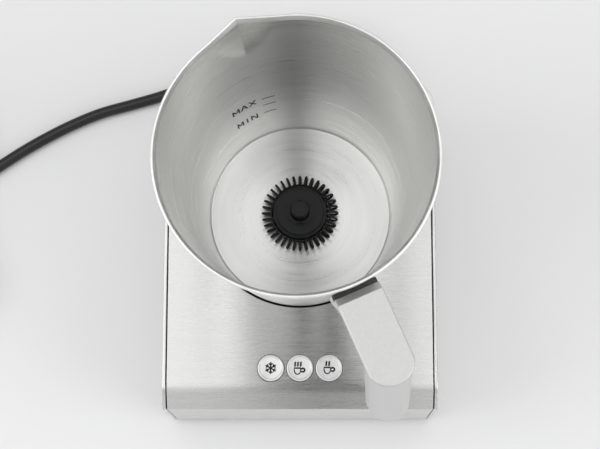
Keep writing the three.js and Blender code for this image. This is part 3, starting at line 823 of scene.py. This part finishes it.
def make_camera():
    """Looks steeply down over the front, from about 0.75 m above the table."""
    lens, sensor = 102, 36
    tilt, swing, roll = (math.radians(a) for a in (11.037, -3.879, -3.928))
    place = Vector((9.1, -139.24, 747.4))
    ahead = Vector((math.sin(tilt) * math.sin(swing), math.sin(tilt) * math.cos(swing),
                    -math.cos(tilt)))
    level = Vector((math.cos(swing), -math.sin(swing), 0))
    up = level.cross(ahead)
    right = level * math.cos(roll) + up * math.sin(roll)
    up = up * math.cos(roll) - level * math.sin(roll)
    data = bpy.data.cameras.new("camera")
    data.lens = lens
    data.sensor_width = sensor
    data.clip_start = 0.01
    camera = in_scene("camera", data)
    turn = Matrix((right, up, -ahead)).transposed().to_4x4()
    camera.matrix_world = Matrix.Translation(to_row(*place)) @ turn
    bpy.context.scene.camera = camera


make_camera()

# ---- Lead and plug ---------------------------------------------------------------------

CORD_ROUTE = [
    (25, 77.3, 13), (24.6, 82, 12.5), (22.2, 88.5, 11), (16.5, 93.8, 8.6), (9, 96, 6), (0, 95, 4),
    (-11, 91, 2.9), (-22, 85.6, 2.6), (-34, 79, 2.6), (-47, 71.4, 2.6), (-62.3, 65.4, 2.6),
    (-76, 61.3, 2.6), (-91, 57, 2.6), (-104, 51.5, 2.6), (-115, 45.8, 2.6), (-125, 39.9, 2.6),
    (-135, 33.3, 2.6), (-147.9, 24.2, 2.6),
]
TAIL_ROUTE = [(-155.1, 13, 7.6), (-156.1, 8.6, 7.5), (-157.1, 4.3, 7.2)]
PLUG_PLACE = (-157.2, 3.9)
PLUG_TURN = -0.23

COIL_OUTER = 30
COIL_INNER = 25
LAYER_LOW = 2.98
LAYER_HIGH = 7.98
COIL_START = 305
COIL_TURNED = 1038


def eased(value, start, end):
    """0 before the start, 1 after the end, and a smooth step between them."""
    t = min(1, max(0, (value - start) / (end - start)))
    return t * t * (3 - 2 * t)


def coil_points():
    """Clockwise: an outer turn, an inner turn beside it, then a climb and a last turn on top."""
    points = []
    step = 6
    for k in range(COIL_TURNED // step + 1):
        turned_by = k * step
        inward = eased(turned_by, 262, 352)
        climb = eased(turned_by, 628, 712)
        outward = eased(turned_by, 700, 990)
        radius = COIL_OUTER - (COIL_OUTER - COIL_INNER) * (inward - outward)
        angle = math.radians(COIL_START - turned_by)
        points.append((
            COIL_X + radius * math.cos(angle),
            COIL_Y + radius * math.sin(angle),
            LAYER_LOW + (LAYER_HIGH - LAYER_LOW) * climb,
        ))
    return points


def power_lead():
    route = catmull([*CORD_ROUTE, *coil_points(), *TAIL_ROUTE], 1.5)
    path = [to_row(*p) for p in route]
    length = sum((b - a).length for a, b in zip(path, path[1:]))
    lead = swept("power_lead", route, CORD_RADIUS, 20)
    smooth(lead, 50)
    dress(lead, JACKET, "base", "lead_jacket", "power_cord", "cord_coil", "cord_tail")
    return lead, path, length


def cord_tie():
    """Band round the three strands at the far side of the coil, snug on each."""
    strands = [(COIL_OUTER, LAYER_LOW), (COIL_INNER, LAYER_LOW),
               ((COIL_OUTER + COIL_INNER) / 2, LAYER_HIGH)]
    half_width, thickness, steps = 3, 0.38, 72
    points, faces = [], []
    for k in range(steps):
        angle = TAU * k / steps
        away = Vector((math.cos(angle), math.sin(angle)))
        strand = max((Vector(place) for place in strands), key=away.dot)
        for reach in (CORD_RADIUS + 0.04, CORD_RADIUS + 0.04 + thickness):
            at = strand + away * reach
            for side in (-half_width, half_width):
                points.append((COIL_X - at.x, COIL_Y + side, at.y))
        here, after = 4 * k, 4 * ((k + 1) % steps)
        for a, b in ((0, 1), (1, 3), (3, 2), (2, 0)):
            faces.append((here + a, here + b, after + b, after + a))
    return smooth(mesh_object("cord_tie", points, faces), 40)


def plug_shape():
    """Flat two-pin plug, built pointing along -Y from its cable end."""
    low, high = 0.2, 13.9
    grooves, first_groove_y, groove_pitch = 5, -15.5, 2.6
    half = [
        (4, 0, 1), (4.6, -6, 4), (5.4, -9, 8), (15.5, -20, 7), (17.2, -34.6, 1.5), (16.4, -36, 0.8),
    ]
    outline = filleted([*half, *[(-x, y, r) for x, y, r in reversed(half)]], 5)
    body = extruded("plug", outline, low, high)
    for z0, z1 in ((low - 1, low + 0.7), (high - 0.7, high + 1)):
        for k in range(grooves):
            y = first_groove_y - groove_pitch * k
            boolean(body, box_solid(-8, 8, y - 0.6, y + 0.6, z0, z1))
    bevelled(body, 0.9, 4, 50)
    return apply_modifiers(body)


def placed_on_plug(thing):
    """Moves a mesh built at the plug's cable end to where the plug lies."""
    return moved(thing, (*PLUG_PLACE, 0), Matrix.Rotation(PLUG_TURN, 4, "Z"))


def plug_pin(index, x):
    """Round pin with an insulated root and a domed bare tip."""
    start, height, radius = -36.3, 7, 2
    tip = turned(f"plug_contact_{index}", filleted([
        (0, 0), (radius, 0), (radius, 19, 1.5), (0, 19),
    ], 8), 32)
    sleeve = turned(f"plug_sleeve_{index}", [
        (radius + 0.005, 0.0), (radius + 0.12, 0.0), (radius + 0.12, 9.6), (radius + 0.005, 10),
    ], 32)
    lay = Matrix.Rotation(math.pi / 2, 4, "X")
    return [smooth(placed_on_plug(moved(part, (x, start, height), lay)), 40)
            for part in (tip, sleeve)]


def strain_relief():
    """Grommet in the rear wall with a ribbed, tapered boot, turned and laid along +Y."""
    profile = [(0, 48), (5, 48, 0.3), (5, 55.6, 0.2), (7.2, 55.6, 0.4), (7.2, 57.8, 0.7)]
    root_y, root_radius = 58.4, 4.7
    tip_y, tip_radius = BOOT_END_Y - 1.2, 3.35
    slope = (tip_radius - root_radius) / (tip_y - root_y)
    profile.append((root_radius + 0.3, root_y, 0.5))
    ribs, first_rib_y, rib_pitch = 6, 60, 2.5
    for k in range(ribs):
        start = first_rib_y + k * rib_pitch
        radius = root_radius + slope * (start - root_y)
        profile += [(radius, start, 0.2), (radius - 0.75, start + 0.25, 0.2),
                    (radius - 0.8, start + 1.0, 0.2), (radius - 0.1, start + 1.25, 0.2)]
    profile += [(tip_radius, tip_y, 0.2), (3.2, BOOT_END_Y, 0.4), (0, BOOT_END_Y)]
    boot = turned("strain_relief", filleted(profile, 4), 64)
    lay = Matrix.Rotation(-math.pi / 2, 4, "X")
    return smooth(moved(boot, (CORD_EXIT_X, 0, CORD_EXIT_Z), lay), 40)


lead, lead_path, lead_length = power_lead()
plug = placed_on_plug(plug_shape())
even_normals(smooth(plug, 40))
dress(plug, PLUG_PLASTIC, "base", "plug_jacket", "plug_body")
on_lead = [plug]
for index, x in ((1, -9.5), (2, 9.5)):
    contact, sleeve = plug_pin(index, x)
    dress(contact, NICKEL, "base", "pin_nickel", f"plug_pin_{index}")
    dress(sleeve, PLUG_PLASTIC, "base", "plug_jacket")
    on_lead += [contact, sleeve]
boot = dress(strain_relief(), BOOT_RUBBER, "base", "black_rubber", "cord_strain_relief")
on_lead.append(boot)
tie = dress(cord_tie(), RUBBER, "base", "black_rubber")
on_lead.append(tie)
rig.cord(lead, exit=lead_path[0], length=lead_length, diameter=2 * CORD_RADIUS * MM,
        far_end="plug", stiffness="medium", lay="coiled", path=lead_path, with_pieces=on_lead)

# ---- Base ------------------------------------------------------------------------------


def base_plan(half_width, front_y, rear_y, corner):
    """The base seen from above: square at the front, round corners at the rear."""
    return filleted([
        (-half_width, front_y), (half_width, front_y),
        (half_width, rear_y, corner), (-half_width, rear_y, corner),
    ], 16)


def top_line(inset, rear_y, bottom_z):
    """Side view from the rear to the lower front corner: flat top, soft bend, sloping
    strip, sharp edge, upright front."""
    slope = math.atan2(TOP_Z - FRONT_EDGE_Z, BEND_Y - FRONT_Y)
    centre_y = BEND_Y + BEND_RADIUS * math.tan(slope / 2)
    centre_z = TOP_Z - BEND_RADIUS
    radius = BEND_RADIUS - inset
    line = [(rear_y, TOP_Z - inset)]
    steps = 14
    for i in range(steps + 1):
        angle = slope * i / steps
        line.append((centre_y - radius * math.sin(angle), centre_z + radius * math.cos(angle)))
    drop = inset * math.tan((math.pi / 2 - slope) / 2)
    line.append((FRONT_Y + inset, FRONT_EDGE_Z - drop))
    line.append((FRONT_Y + inset, bottom_z))
    return line


def top_cover():
    outline = [*top_line(0, SHEET_REAR_Y, BOTTOM_Z),
               *reversed(top_line(SHEET_THICKNESS, SHEET_REAR_Y, BOTTOM_Z))]
    sheet = extruded("top_sheet", outline, -SHEET_HALF_WIDTH, SHEET_HALF_WIDTH, "X")
    plan = base_plan(SHEET_HALF_WIDTH, FRONT_Y - 5, SHEET_REAR_Y, SHEET_CORNER_RADIUS)
    boolean(sheet, extruded("tool", plan, -1, TOP_Z + 5), "INTERSECT")
    boolean(sheet, cylinder(WELL_HOLE_RADIUS, TOP_Z - 8, TOP_Z + 5, 0, 0, 180))
    for x in BUTTON_PLACES.values():
        boolean(sheet, cylinder(BUTTON_RADIUS + 0.24, TOP_Z - 8, TOP_Z + 5, x, BUTTON_Y, 72))
    return bevelled(sheet, 0.14, 3, 25)


def body_skirt():
    outer = base_plan(SKIRT_HALF_WIDTH, FRONT_Y, SKIRT_REAR_Y, REAR_CORNER_RADIUS)
    inner = base_plan(SKIRT_HALF_WIDTH - SKIRT_THICKNESS, FRONT_Y - 5,
                      SKIRT_REAR_Y - SKIRT_THICKNESS, REAR_CORNER_RADIUS - SKIRT_THICKNESS)
    side = [*top_line(0, SKIRT_REAR_Y + 1, BOTTOM_Z), (SKIRT_REAR_Y + 1, BOTTOM_Z)]
    skirt = extruded("side_skirt", side, -SKIRT_HALF_WIDTH - 1, SKIRT_HALF_WIDTH + 1, "X")
    boolean(skirt, extruded("tool", outer, BOTTOM_Z - 1, TOP_Z + 1), "INTERSECT")
    boolean(skirt, extruded("tool", inner, 0, TOP_Z + 5))
    hole = cylinder(5.4, -20, 20, 0, 0, 64)
    lay = Matrix.Rotation(math.pi / 2, 4, "X")
    boolean(skirt, moved(hole, (CORD_EXIT_X, SKIRT_REAR_Y - 5, CORD_EXIT_Z), lay))
    return bevelled(skirt, 0.35, 4, 25)


def jug_well():
    wall = 1.5
    top = TOP_Z - SHEET_THICKNESS - 0.3
    outer = WELL_RADIUS + wall
    return smooth(turned("well_cup", filleted([
        (0, WELL_FLOOR_Z - 1.7), (outer, WELL_FLOOR_Z - 1.7, 0.5), (outer, 54.6), (48, 54.6, 0.3),
        (48, 56.8, 0.3), (outer, 56.8), (outer, top, 0.2), (WELL_RADIUS, top, 0.4),
        (WELL_RADIUS, WELL_FLOOR_Z, 0.8), (0, WELL_FLOOR_Z),
    ], 4), 144), 40)


BUTTON_PLACES = {
    name: plan_middle(*span(f"button_{name}"))[0] for name in ("cold", "froth", "warm")
}

dress(top_cover(), SHEET_STEEL, "base", "brushed_steel", "top_cover")
dress(body_skirt(), SKIRT_STEEL, "base", "skirt_steel", "body_skirt")
dress(jug_well(), BLACK_PLASTIC, "base", "black_plastic", "jug_well")


def foot(index):
    low, high = span(f"foot_{index}")
    radius = (high.x - low.x) / 2
    centre = plan_middle(low, high)
    made = turned(f"rubber_foot_{index}", filleted([
        (0, 0.4), (2.6, 0.4, 0.3), (2.9, 0), (radius - 0.5, 0, 0.4), (radius, 0.9, 0.4),
        (radius, high.z, 0.2), (0, high.z),
    ], 4), 48, centre)
    dress(smooth(made, 40), RUBBER, "base", "black_rubber", f"foot_{index}")


def tray_screw(index):
    """Pan-head screw with a cross recess, seen from below."""
    low, high = span(f"tray_screw_{index}")
    centre = plan_middle(low, high)
    made = turned(f"pan_screw_{index}", filleted([
        (0, low.z), (2.0, low.z, 0.8), (2.8, low.z + 0.6, 0.2), (2.8, low.z + 0.9, 0.1),
        (1.4, low.z + 0.9, 0.1), (1.4, high.z - 2, 0.4), (0.5, high.z), (0, high.z),
    ], 4), 32, centre)
    x, y = centre
    for half_x, half_y in ((1.3, 0.3), (0.3, 1.3)):
        boolean(made, box_solid(x - half_x, x + half_x, y - half_y, y + half_y,
                                low.z - 1, low.z + 0.5))
    dress(smooth(made, 35), ZINC, "base", "zinc_steel", f"tray_screw_{index}")


for index in range(1, 5):
    foot(index)
    tray_screw(index)

# ---- Jug -------------------------------------------------------------------------------

WALL_SLOPE = (JUG_RIM_RADIUS - JUG_FLOOR_RADIUS) / (JUG_RIM_Z - JUG_FLOOR_Z)
SPOUT_ANGLE = math.radians(90) + HANDLE_ANGLE  # counted from +X


def wall_radius(z):
    """Radius of the jug's inner wall at a height."""
    return JUG_FLOOR_RADIUS + WALL_SLOPE * (z - JUG_FLOOR_Z)


def with_spout(x, y, z):
    """Pushes the round wall out to a V of two flat facets, shrinking to nothing below."""
    radius = math.hypot(x, y)
    left = 1 - max(0, JUG_RIM_Z - z) / SPOUT_DEPTH
    if radius < 1 or left <= 0:
        return x, y, z
    half = SPOUT_HALF_ANGLE * math.sqrt(left)
    off = abs((math.atan2(y, x) - SPOUT_ANGLE + math.pi) % TAU - math.pi)
    if off >= half:
        return x, y, z
    own = wall_radius(z)
    tip = own + SPOUT_REACH * left
    foot_x, foot_y = own * math.cos(half), own * math.sin(half)
    pushed = tip * foot_y / ((tip - foot_x) * math.sin(off) + foot_y * math.cos(off))
    stretch = 1 + (pushed - own) / radius
    return x * stretch, y * stretch, z


def steps_between(low, high, count):
    return [low + (high - low) * k / count for k in range(1, count)]


def jug_profile():
    """From the axis under the floor, up the outside, over the flared lip, down the inside."""
    outer_corner = wall_radius(JUG_BOTTOM_Z) + JUG_WALL
    flare = JUG_RIM_Z - LIP_FLARE
    lip_out = JUG_RIM_RADIUS + LIP_WIDTH
    spout_low = JUG_RIM_Z - SPOUT_DEPTH - 1
    heights = [*steps_between(JUG_BOTTOM_Z + 1.5, spout_low, 24), spout_low,
               *steps_between(spout_low, flare - 1.4, 36)]
    outside = [(wall_radius(z) + JUG_WALL, z) for z in heights]
    inside = [(wall_radius(z), z) for z in reversed(heights) if z > JUG_FLOOR_Z + 2]
    floor = [(r, JUG_FLOOR_Z) for r in (36.0, 30, 24, 18, 12, 6)]
    return filleted([
        (0, JUG_BOTTOM_Z), (20, JUG_BOTTOM_Z), (outer_corner - 0.8, JUG_BOTTOM_Z, 0.6),
        (outer_corner, JUG_BOTTOM_Z + 1.0, 0.6), *outside,
        (wall_radius(flare) + JUG_WALL, flare - 0.7, 0.6), (lip_out + 0.15, JUG_RIM_Z - 1.5, 0.5),
        (lip_out + 0.1, JUG_RIM_Z, 0.4), (lip_out - 0.75, JUG_RIM_Z, 0.35),
        (wall_radius(flare), flare, 1.6), *inside,
        (wall_radius(JUG_FLOOR_Z + 1.0), JUG_FLOOR_Z + 1.0, 0.5),
        (JUG_FLOOR_RADIUS - 0.5, JUG_FLOOR_Z, 0.4), *floor, (0, JUG_FLOOR_Z),
    ], 5)


def jug_angles():
    """Columns round the jug, close together at the spout, one of them on its crease."""
    fine, coarse = math.radians(0.5), math.radians(1.5)
    edge = math.radians(20)
    angles = []
    turn = -edge
    while turn < TAU - edge - 1e-6:
        angles.append(SPOUT_ANGLE + turn)
        turn += fine if turn < edge - 1e-6 else coarse
    return angles


def jug_shell():
    shell = turned("steel_jug", jug_profile(), 0, (0, 0), with_spout, jug_angles())
    smooth(shell, 24)
    dress(shell, JUG_STEEL, "jug", "jug_steel", "jug_shell")
    # The lip's top faces take the brighter steel: painted highlight.
    lip_highlight_start = (JUG_RIM_Z - LIP_FLARE - 0.2) * MM
    faced(shell, RIM_PAINTED_HIGHLIGHT, lambda centre: centre.z > lip_highlight_start)


def wall_point(turn, z):
    """A point just inside the jug's wall; turn is in degrees left of straight back."""
    radius = wall_radius(z) - 0.04
    angle = math.radians(90 + turn)
    return radius * math.cos(angle), radius * math.sin(angle), z


def mark_stroke(start, end, width):
    """A thin printed bar on the wall between two (turn, height) points."""
    per_degree = math.radians(1) * wall_radius(JUG_RIM_Z - 80)
    flat = [Vector((turn * per_degree, z)) for turn, z in (start, end)]
    along = (flat[1] - flat[0]).normalized()
    side = Vector((-along.y, along.x)) * width / 2
    count = 4
    points, faces = [], []
    for k in range(count + 1):
        middle = flat[0].lerp(flat[1], k / count)
        for edge in (middle - side, middle + side):
            inner = wall_point(edge.x / per_degree, edge.y)
            outward = Vector((inner[0], inner[1], 0)).normalized() * 0.03
            points += [inner, tuple(Vector(inner) + outward)]
    for k in range(count):
        a, b = 4 * k, 4 * k + 4
        faces += [(a, a + 2, b + 2, b), (a + 1, b + 1, b + 3, a + 3),
                  (a, b, b + 1, a + 1), (a + 2, a + 3, b + 3, b + 2)]
    last = 4 * count
    faces += [(0, 1, 3, 2), (last, last + 2, last + 3, last + 1)]
    return mesh_object("stroke", points, faces)


LETTERS = {
    "M": [((0, 0), (0, 1)), ((0, 1), (0.5, 0.3)), ((0.5, 0.3), (1, 1)), ((1, 1), (1, 0))],
    "A": [((0, 0), (0.5, 1)), ((0.5, 1), (1, 0)), ((0.2, 0.36), (0.8, 0.36))],
    "X": [((0, 0), (1, 1)), ((0, 1), (1, 0))],
    "I": [((0.5, 0), (0.5, 1))],
    "N": [((0, 0), (0, 1)), ((0, 1), (1, 0)), ((1, 0), (1, 1))],
}


def mark_word(word, left, right, middle, height):
    """Upright letters between two turns, in degrees left of straight back."""
    pitch = (left - right) / len(word)
    strokes = []
    for k, letter in enumerate(word):
        start = left - pitch * k
        for first, second in LETTERS[letter]:
            ends = [(start - u * pitch * 0.74, middle + (v - 0.5) * height)
                    for u, v in (first, second)]
            strokes.append(mark_stroke(*ends, 0.62))
    return strokes


def level_marks():
    """Three level lines with the generic words for the highest and the lowest fill."""
    levels = [JUG_RIM_Z - drop for drop in (71.8, 78.5, 86.5)]
    strokes = [mark_stroke((20.6, z), (13.3, z), 0.5) for z in levels]
    strokes += mark_word("MAX", 38.5, 23.0, levels[0], 4.6)
    strokes += mark_word("MIN", 38.0, 24.0, levels[2], 4.6)
    return joined("level_marks", strokes)


def handle_solid():
    """Strap under the rim and out to its round end, over a half-round grip. Built pointing
    along +X, with heights counted from the rim."""
    underside = HANDLE_TOP - HANDLE_PLATE

    def wall_at(drop):
        return JUG_RIM_RADIUS + JUG_WALL + 0.3 - WALL_SLOPE * drop

    past_end = HANDLE_END + 2 * HANDLE_END_RADIUS
    outline = filleted([
        (wall_at(9.5), -9.5), (52.7, -9.5, 0.2), (52.7, -4.8, 0.4), (55.7, HANDLE_TOP, 0.5),
        (past_end, HANDLE_TOP), (past_end, underside), (59, underside, 2.5), (55.5, -12, 3),
        (wall_at(26) + 2.5, -26, 0.6), (wall_at(26), -26),
    ], 5)
    count = len(outline)
    points = [(u, w, v) for w in (-20, 20) for u, v in outline]
    faces = [tuple(range(count)), tuple(range(count, 2 * count))[::-1]]
    faces += [(i, (i + 1) % count, count + (i + 1) % count, count + i) for i in range(count)]
    strap = mesh_object("handle_bar", points, faces)
    meet = math.acos(HANDLE_HALF_WIDTH / HANDLE_END_RADIUS)
    arc = 48
    angles = [-math.pi / 2 + meet + (math.pi - 2 * meet) * k / arc for k in range(arc + 1)]
    plan = [(40, HANDLE_HALF_WIDTH), (40, -HANDLE_HALF_WIDTH)]
    plan += [(HANDLE_END + HANDLE_END_RADIUS * math.cos(a), HANDLE_END_RADIUS * math.sin(a))
             for a in angles]
    boolean(strap, extruded("tool", plan, -40, 10), "INTERSECT")
    bevelled(strap, 0.5, 4, 40)
    apply_modifiers(strap)

    half = HANDLE_HALF_WIDTH - 0.25
    section = [(-GRIP_INNER, -half), (0, -half)]
    arc = 40
    section += [(half * math.cos(a), half * math.sin(a))
                for a in (-math.pi / 2 + math.pi * k / arc for k in range(1, arc))]
    section += [(0, half), (-GRIP_INNER, half)]
    grip = extruded("tool", section, GRIP_BOTTOM, underside + 1.6)
    lean = Matrix(((1, 0, -GRIP_LEAN, HANDLE_END * MM), (0, 1, 0, 0), (0, 0, 1, 0), (0, 0, 0, 1)))
    grip.data.transform(lean)
    bevelled(grip, 1.1, 5, 40)
    apply_modifiers(grip)
    boolean(strap, grip, "UNION")
    smooth(strap, 35)

    return moved(strap, (0, 0, JUG_RIM_Z), Matrix.Rotation(HANDLE_ANGLE - math.pi / 2, 4, "Z"))


jug_shell()
dress(level_marks(), INK, "jug", "black_plastic")
bar = dress(even_normals(handle_solid()), HANDLE_STEEL, "jug", "handle_steel", "handle")
# The handle's faces beside the gap under the rim get the dark steel: painted shade of that gap.
faced(bar, SLOT_PAINTED_SHADE, lambda centre: centre.z > SLOT_SHADE_LOW_Z * MM and
      math.hypot(centre.x, centre.y - AXIS_Y * MM) < SLOT_SHADE_RADIUS * MM)

spindle_low, spindle_high = span("whisk_spindle")
dress(smooth(turned("spindle_pin", filleted([
    (0, spindle_low.z), (4, spindle_low.z, 0.1), (4, spindle_low.z + 0.5, 0.2),
    (1.5, spindle_low.z + 0.6, 0.3), (1.5, spindle_high.z - 0.3, 0.5), (0, spindle_high.z),
], 5), 48), 40), ZINC, "jug", "zinc_steel", "whisk_spindle")

# ---- Whisk -----------------------------------------------------------------------------


def whisk_hub():
    """Dished hub with a raised edge and a waisted finger knob."""
    z = WHISK_BOTTOM_Z
    hub = turned("whisk_hub_moulding", filleted([
        (3.1, z, 0.2), (WHISK_HUB_RADIUS - 0.4, z, 0.3), (WHISK_HUB_RADIUS, z + 0.6, 0.3),
        (WHISK_HUB_RADIUS, z + 4.9, 0.5), (WHISK_HUB_RADIUS - 0.9, z + 5.4, 0.4),
        (WHISK_HUB_RADIUS - 1.8, z + 5.0, 0.6), (5.2, z + 4.8, 0.8), (3.9, z + 5.2, 0.5),
        (3.65, z + 9.5, 2), (3.9, z + 11.6, 0.7), (3.2, hub_high.z, 0.5), (0.01, hub_high.z),
        (0.01, z + 8.8), (3.1, z + 8.8, 0.2),
    ], 6), 144)
    boolean(hub, box_solid(-1.7, 1.7, -5.6, -4.7, z + 4.1, z + 8))
    return smooth(hub, 35)


def whisk_loops():
    """Spring-like ring of loops: a helix wound round a circle, with rounded outer ends."""
    middle, reach, rise, bar = 13.55, 1.97, 1.7, 0.48
    round_out, round_up, spread = 0.7, 0.85, 0.014
    centre_z = WHISK_BOTTOM_Z + 2.2
    per_loop = 32
    path = []
    for k in range(WHISK_LOOPS * per_loop):
        loop, step = divmod(k, per_loop)
        phase = TAU * step / per_loop
        advance = eased(step / per_loop, 0.3, 0.7)
        flat = math.copysign(abs(math.cos(phase)) ** round_out, math.cos(phase))
        tall = math.copysign(abs(math.sin(phase)) ** round_up, math.sin(phase))
        radius = middle + reach * flat
        angle = TAU * (loop + advance) / WHISK_LOOPS + spread * math.sin(phase)
        path.append((radius * math.cos(angle), radius * math.sin(angle), centre_z + rise * tall))
    coil = swept("whisk_spring_ring", path, bar, 10, closed=True)
    band = turned("tool", filleted([
        (11.5, centre_z - 1.9, 0.2), (12.0, centre_z - 1.9, 0.2), (12.0, centre_z + 1.9, 0.2),
        (11.5, centre_z + 1.9, 0.2),
    ], 4), 144)
    return smooth(joined("whisk_spring_ring", [coil, band]), 50)


dress(whisk_hub(), WHISK_PLASTIC, "whisk", "whisk_plastic", "whisk_hub")
dress(whisk_loops(), WHISK_PLASTIC, "whisk", "whisk_plastic", "whisk_ring")

# ---- Buttons ---------------------------------------------------------------------------


def button_cap(name, x):
    """Low dished face inside a raised rim, whose top has a painted highlight, on a round stem."""
    low = button_low.z
    top = BUTTON_TOP_Z
    cap = turned(f"cap_{name}", filleted([
        (0, low), (3, low, 0.3), (3, low + 2.4), (BUTTON_RADIUS, low + 2.4, 0.3),
        (BUTTON_RADIUS, top - 0.35, 0.2), (BUTTON_RADIUS - 0.35, top, 0.25),
        (BUTTON_RADIUS - 0.65, top, 0.2), (BUTTON_RADIUS - 1.0, top - 0.38, 0.3),
        (BUTTON_RADIUS - 3, top - 0.44, 3), (0, top - 0.45),
    ], 6), 96, (x, BUTTON_Y))
    smooth(cap, 40)
    dress(cap, spun_cap(f"silver_{name}", x, BUTTON_Y), f"{name}_button", "silver_cap",
          f"button_{name}")
    rim = BUTTON_RADIUS - 0.8
    middle = to_row(x, BUTTON_Y, 0)
    # The raised rim's top faces take the brighter steel: painted highlight.
    faced(cap, RIM_PAINTED_HIGHLIGHT, lambda centre: centre.z > (top - 0.3) * MM and
          math.hypot(centre.x - middle.x, centre.y - middle.y) > rim * MM)


def icon_bar(points, x, width=0.72):
    """A printed line through points counted from a button's centre."""
    z = BUTTON_TOP_Z - 0.42
    line = [(x + u, BUTTON_Y + v, z) for u, v in points]
    return swept("bar", line, width / 2, 8, squeeze=0.3)


def snowflake(x):
    bars = []
    for k in range(6):
        angle = math.pi / 2 + k * math.pi / 3
        tip = Vector((math.cos(angle), math.sin(angle)))
        side = Vector((-tip.y, tip.x))
        bars.append(icon_bar([(0, 0), tuple(tip * 2.4)], x, 0.6))
        for hand in (-1, 1):
            fork = tip * 1.15
            end = fork + tip * 0.75 + side * 0.75 * hand
            bars.append(icon_bar([tuple(fork), tuple(end)], x, 0.54))
    return bars


def steaming_cup(x, wisps, lift):
    """Cup outline with a ring handle on the right and slanted, wavy steam lines."""
    middle, half, depth = lift - 0.95, 1.32, 2.6
    bowl = [(middle + half, lift), (middle - half, lift), (middle - half, lift - 1.1)]
    for k in range(1, 12):
        angle = math.pi + math.pi * k / 12
        bowl.append((middle + half * math.cos(angle),
                     lift - 1.1 + (depth - 1.1) * math.sin(angle)))
    bowl += [(middle + half, lift - 1.1), (middle + half, lift)]
    ear = [(middle + half + 0.85 + 0.75 * math.cos(a), lift - 0.85 + 0.72 * math.sin(a))
           for a in (math.pi * 0.86 - TAU * 0.86 * k / 16 for k in range(17))]
    bars = [icon_bar(bowl, x), icon_bar(ear, x)]
    spacing = 1.15
    for k in range(wisps):
        start = middle + spacing * (k - (wisps - 1) / 2) - 0.1
        wave = [(start + 0.6 * t + 0.16 * math.sin(TAU * t), lift + 0.62 + 1.85 * t)
                for t in (i / 8 for i in range(9))]
        bars.append(icon_bar(wave, x))
    return bars


ICONS = {
    "cold": snowflake,
    "froth": lambda x: steaming_cup(x, 3, 0),
    "warm": lambda x: steaming_cup(x, 2, 0.25),
}
for name, x in BUTTON_PLACES.items():
    button_cap(name, x)
    icon = joined(f"icon_{name}", ICONS[name](x))
    dress(smooth(icon, 50), INK, f"{name}_button", "black_plastic")

# ---- CAD pieces that keep their shape --------------------------------------------------

choke_low, choke_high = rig.box("mains_choke")
choke = (choke_low + choke_high) / 2
CHOKE_COPPER = wound("choke_winding", (0.72, 0.36, 0.16), 0.8, choke.x, choke.y)
CAD_FINISHES = [
    (BLACK_PLASTIC, ["housing_frame", "base_tray", "fan_frame", "fan_impeller", "button_guide"]),
    (GREY_PLASTIC, ["coil_carrier", "motor_bracket", "magnet_carrier",
                    *(f"tact_switch_{name}" for name in BUTTON_PLACES)]),
    (WHITE_ACETAL, ["whisk_bush"]),
    (ZINC, ["temperature_sensor", "drive_motor", "drive_shaft"]),
    (NICKEL, [f"{place}_magnet_{index}" for place in ("drive", "whisk") for index in (1, 2)]),
    (FERRITE, [f"ferrite_bar_{index}" for index in range(1, 7)]),
    (COIL_COPPER, ["induction_coil"]),
    (CHOKE_COPPER, ["mains_choke"]),
    (BOARD, ["power_board", "control_board"]),
    (SLEEVE_FILM, ["bulk_capacitor"]),
    (EXTRUSION, ["heat_sink"]),
]
for material, nodes in CAD_FINISHES:
    for node in nodes:
        slots = frame["nodes"][node].data.materials
        slots.clear()
        slots.append(material)

# ---- Floor, light and backdrop ---------------------------------------------------------


def level_sheet(name, x0, x1, y0, y1, z):
    """A flat rectangle, in metres of the row frame."""
    mesh = bpy.data.meshes.new(name)
    mesh.from_pydata([(x0, y0, z), (x1, y0, z), (x1, y1, z), (x0, y1, z)], [], [(0, 1, 2, 3)])
    return in_scene(name, mesh)


def floor():
    half = 3
    made = level_sheet("floor", -half, half, -half, half, 0)
    nodes = Nodes("pale_floor")
    cloud = nodes.noise(nodes.place(), 3, 2.0)
    nodes.color(nodes.ramp(cloud, (0.3, (0.80, 0.80, 0.805)), (0.7, (0.83, 0.83, 0.835))))
    nodes.set(Roughness=0.7)
    made.data.materials.append(nodes.material)
    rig.stage(made)


def area_light(name, place, target, size, power):
    data = bpy.data.lights.new(name, "AREA")
    data.shape = "RECTANGLE"
    data.size, data.size_y = size
    data.energy = power
    aim = Vector(target) - Vector(place)
    in_scene(name, data).matrix_world = (Matrix.Translation(place)
                                         @ aim.to_track_quat("-Z", "Y").to_matrix().to_4x4())


def studio():
    world = bpy.data.worlds.new("studio")
    world.use_nodes = True
    backdrop = world.node_tree.nodes["Background"].inputs
    backdrop["Color"].default_value = (1, 1, 1, 1)
    backdrop["Strength"].default_value = 0.5
    bpy.context.scene.world = world
    bpy.context.scene.view_settings.view_transform = "Standard"
    middle = (0, 0, 0.08)
    area_light("overhead_softbox", (0, 0.1, 1.7), middle, (1.8, 1.8), 10)
    area_light("front_softbox", (0, -1.4, 1.0), middle, (1.8, 0.7), 1.7)
    area_light("left_softbox", (-1.25, -0.2, 1.2), middle, (1.0, 1.0), 7)
    area_light("right_softbox", (1.25, -0.5, 1.2), middle, (1.0, 1.0), 7)


def dark_card():
    """A long dark strip overhead, seen only as a reflection in the brushed steel."""
    x, half_width, front_y, rear_y, z = 0.009, 0.055, -1.1, 0.9, 0.80
    made = level_sheet("dark_card", x - half_width, x + half_width, front_y, rear_y, z)
    nodes = Nodes("dark_cloth")
    cloud = nodes.noise(nodes.place(), 40, 2.0)
    nodes.color(nodes.ramp(cloud, (0.3, shade(0.02)), (0.7, shade(0.04))))
    nodes.set(Roughness=0.9)
    made.data.materials.append(nodes.material)
    made.visible_camera = False
    made.visible_diffuse = False
    made.visible_shadow = False
    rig.stage(made)


floor()
studio()
dark_card()

with open("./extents.json", "w") as report:
    json.dump({"cad": CAD_BOX, "visual": [list(corner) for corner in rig.bounds()]}, report)
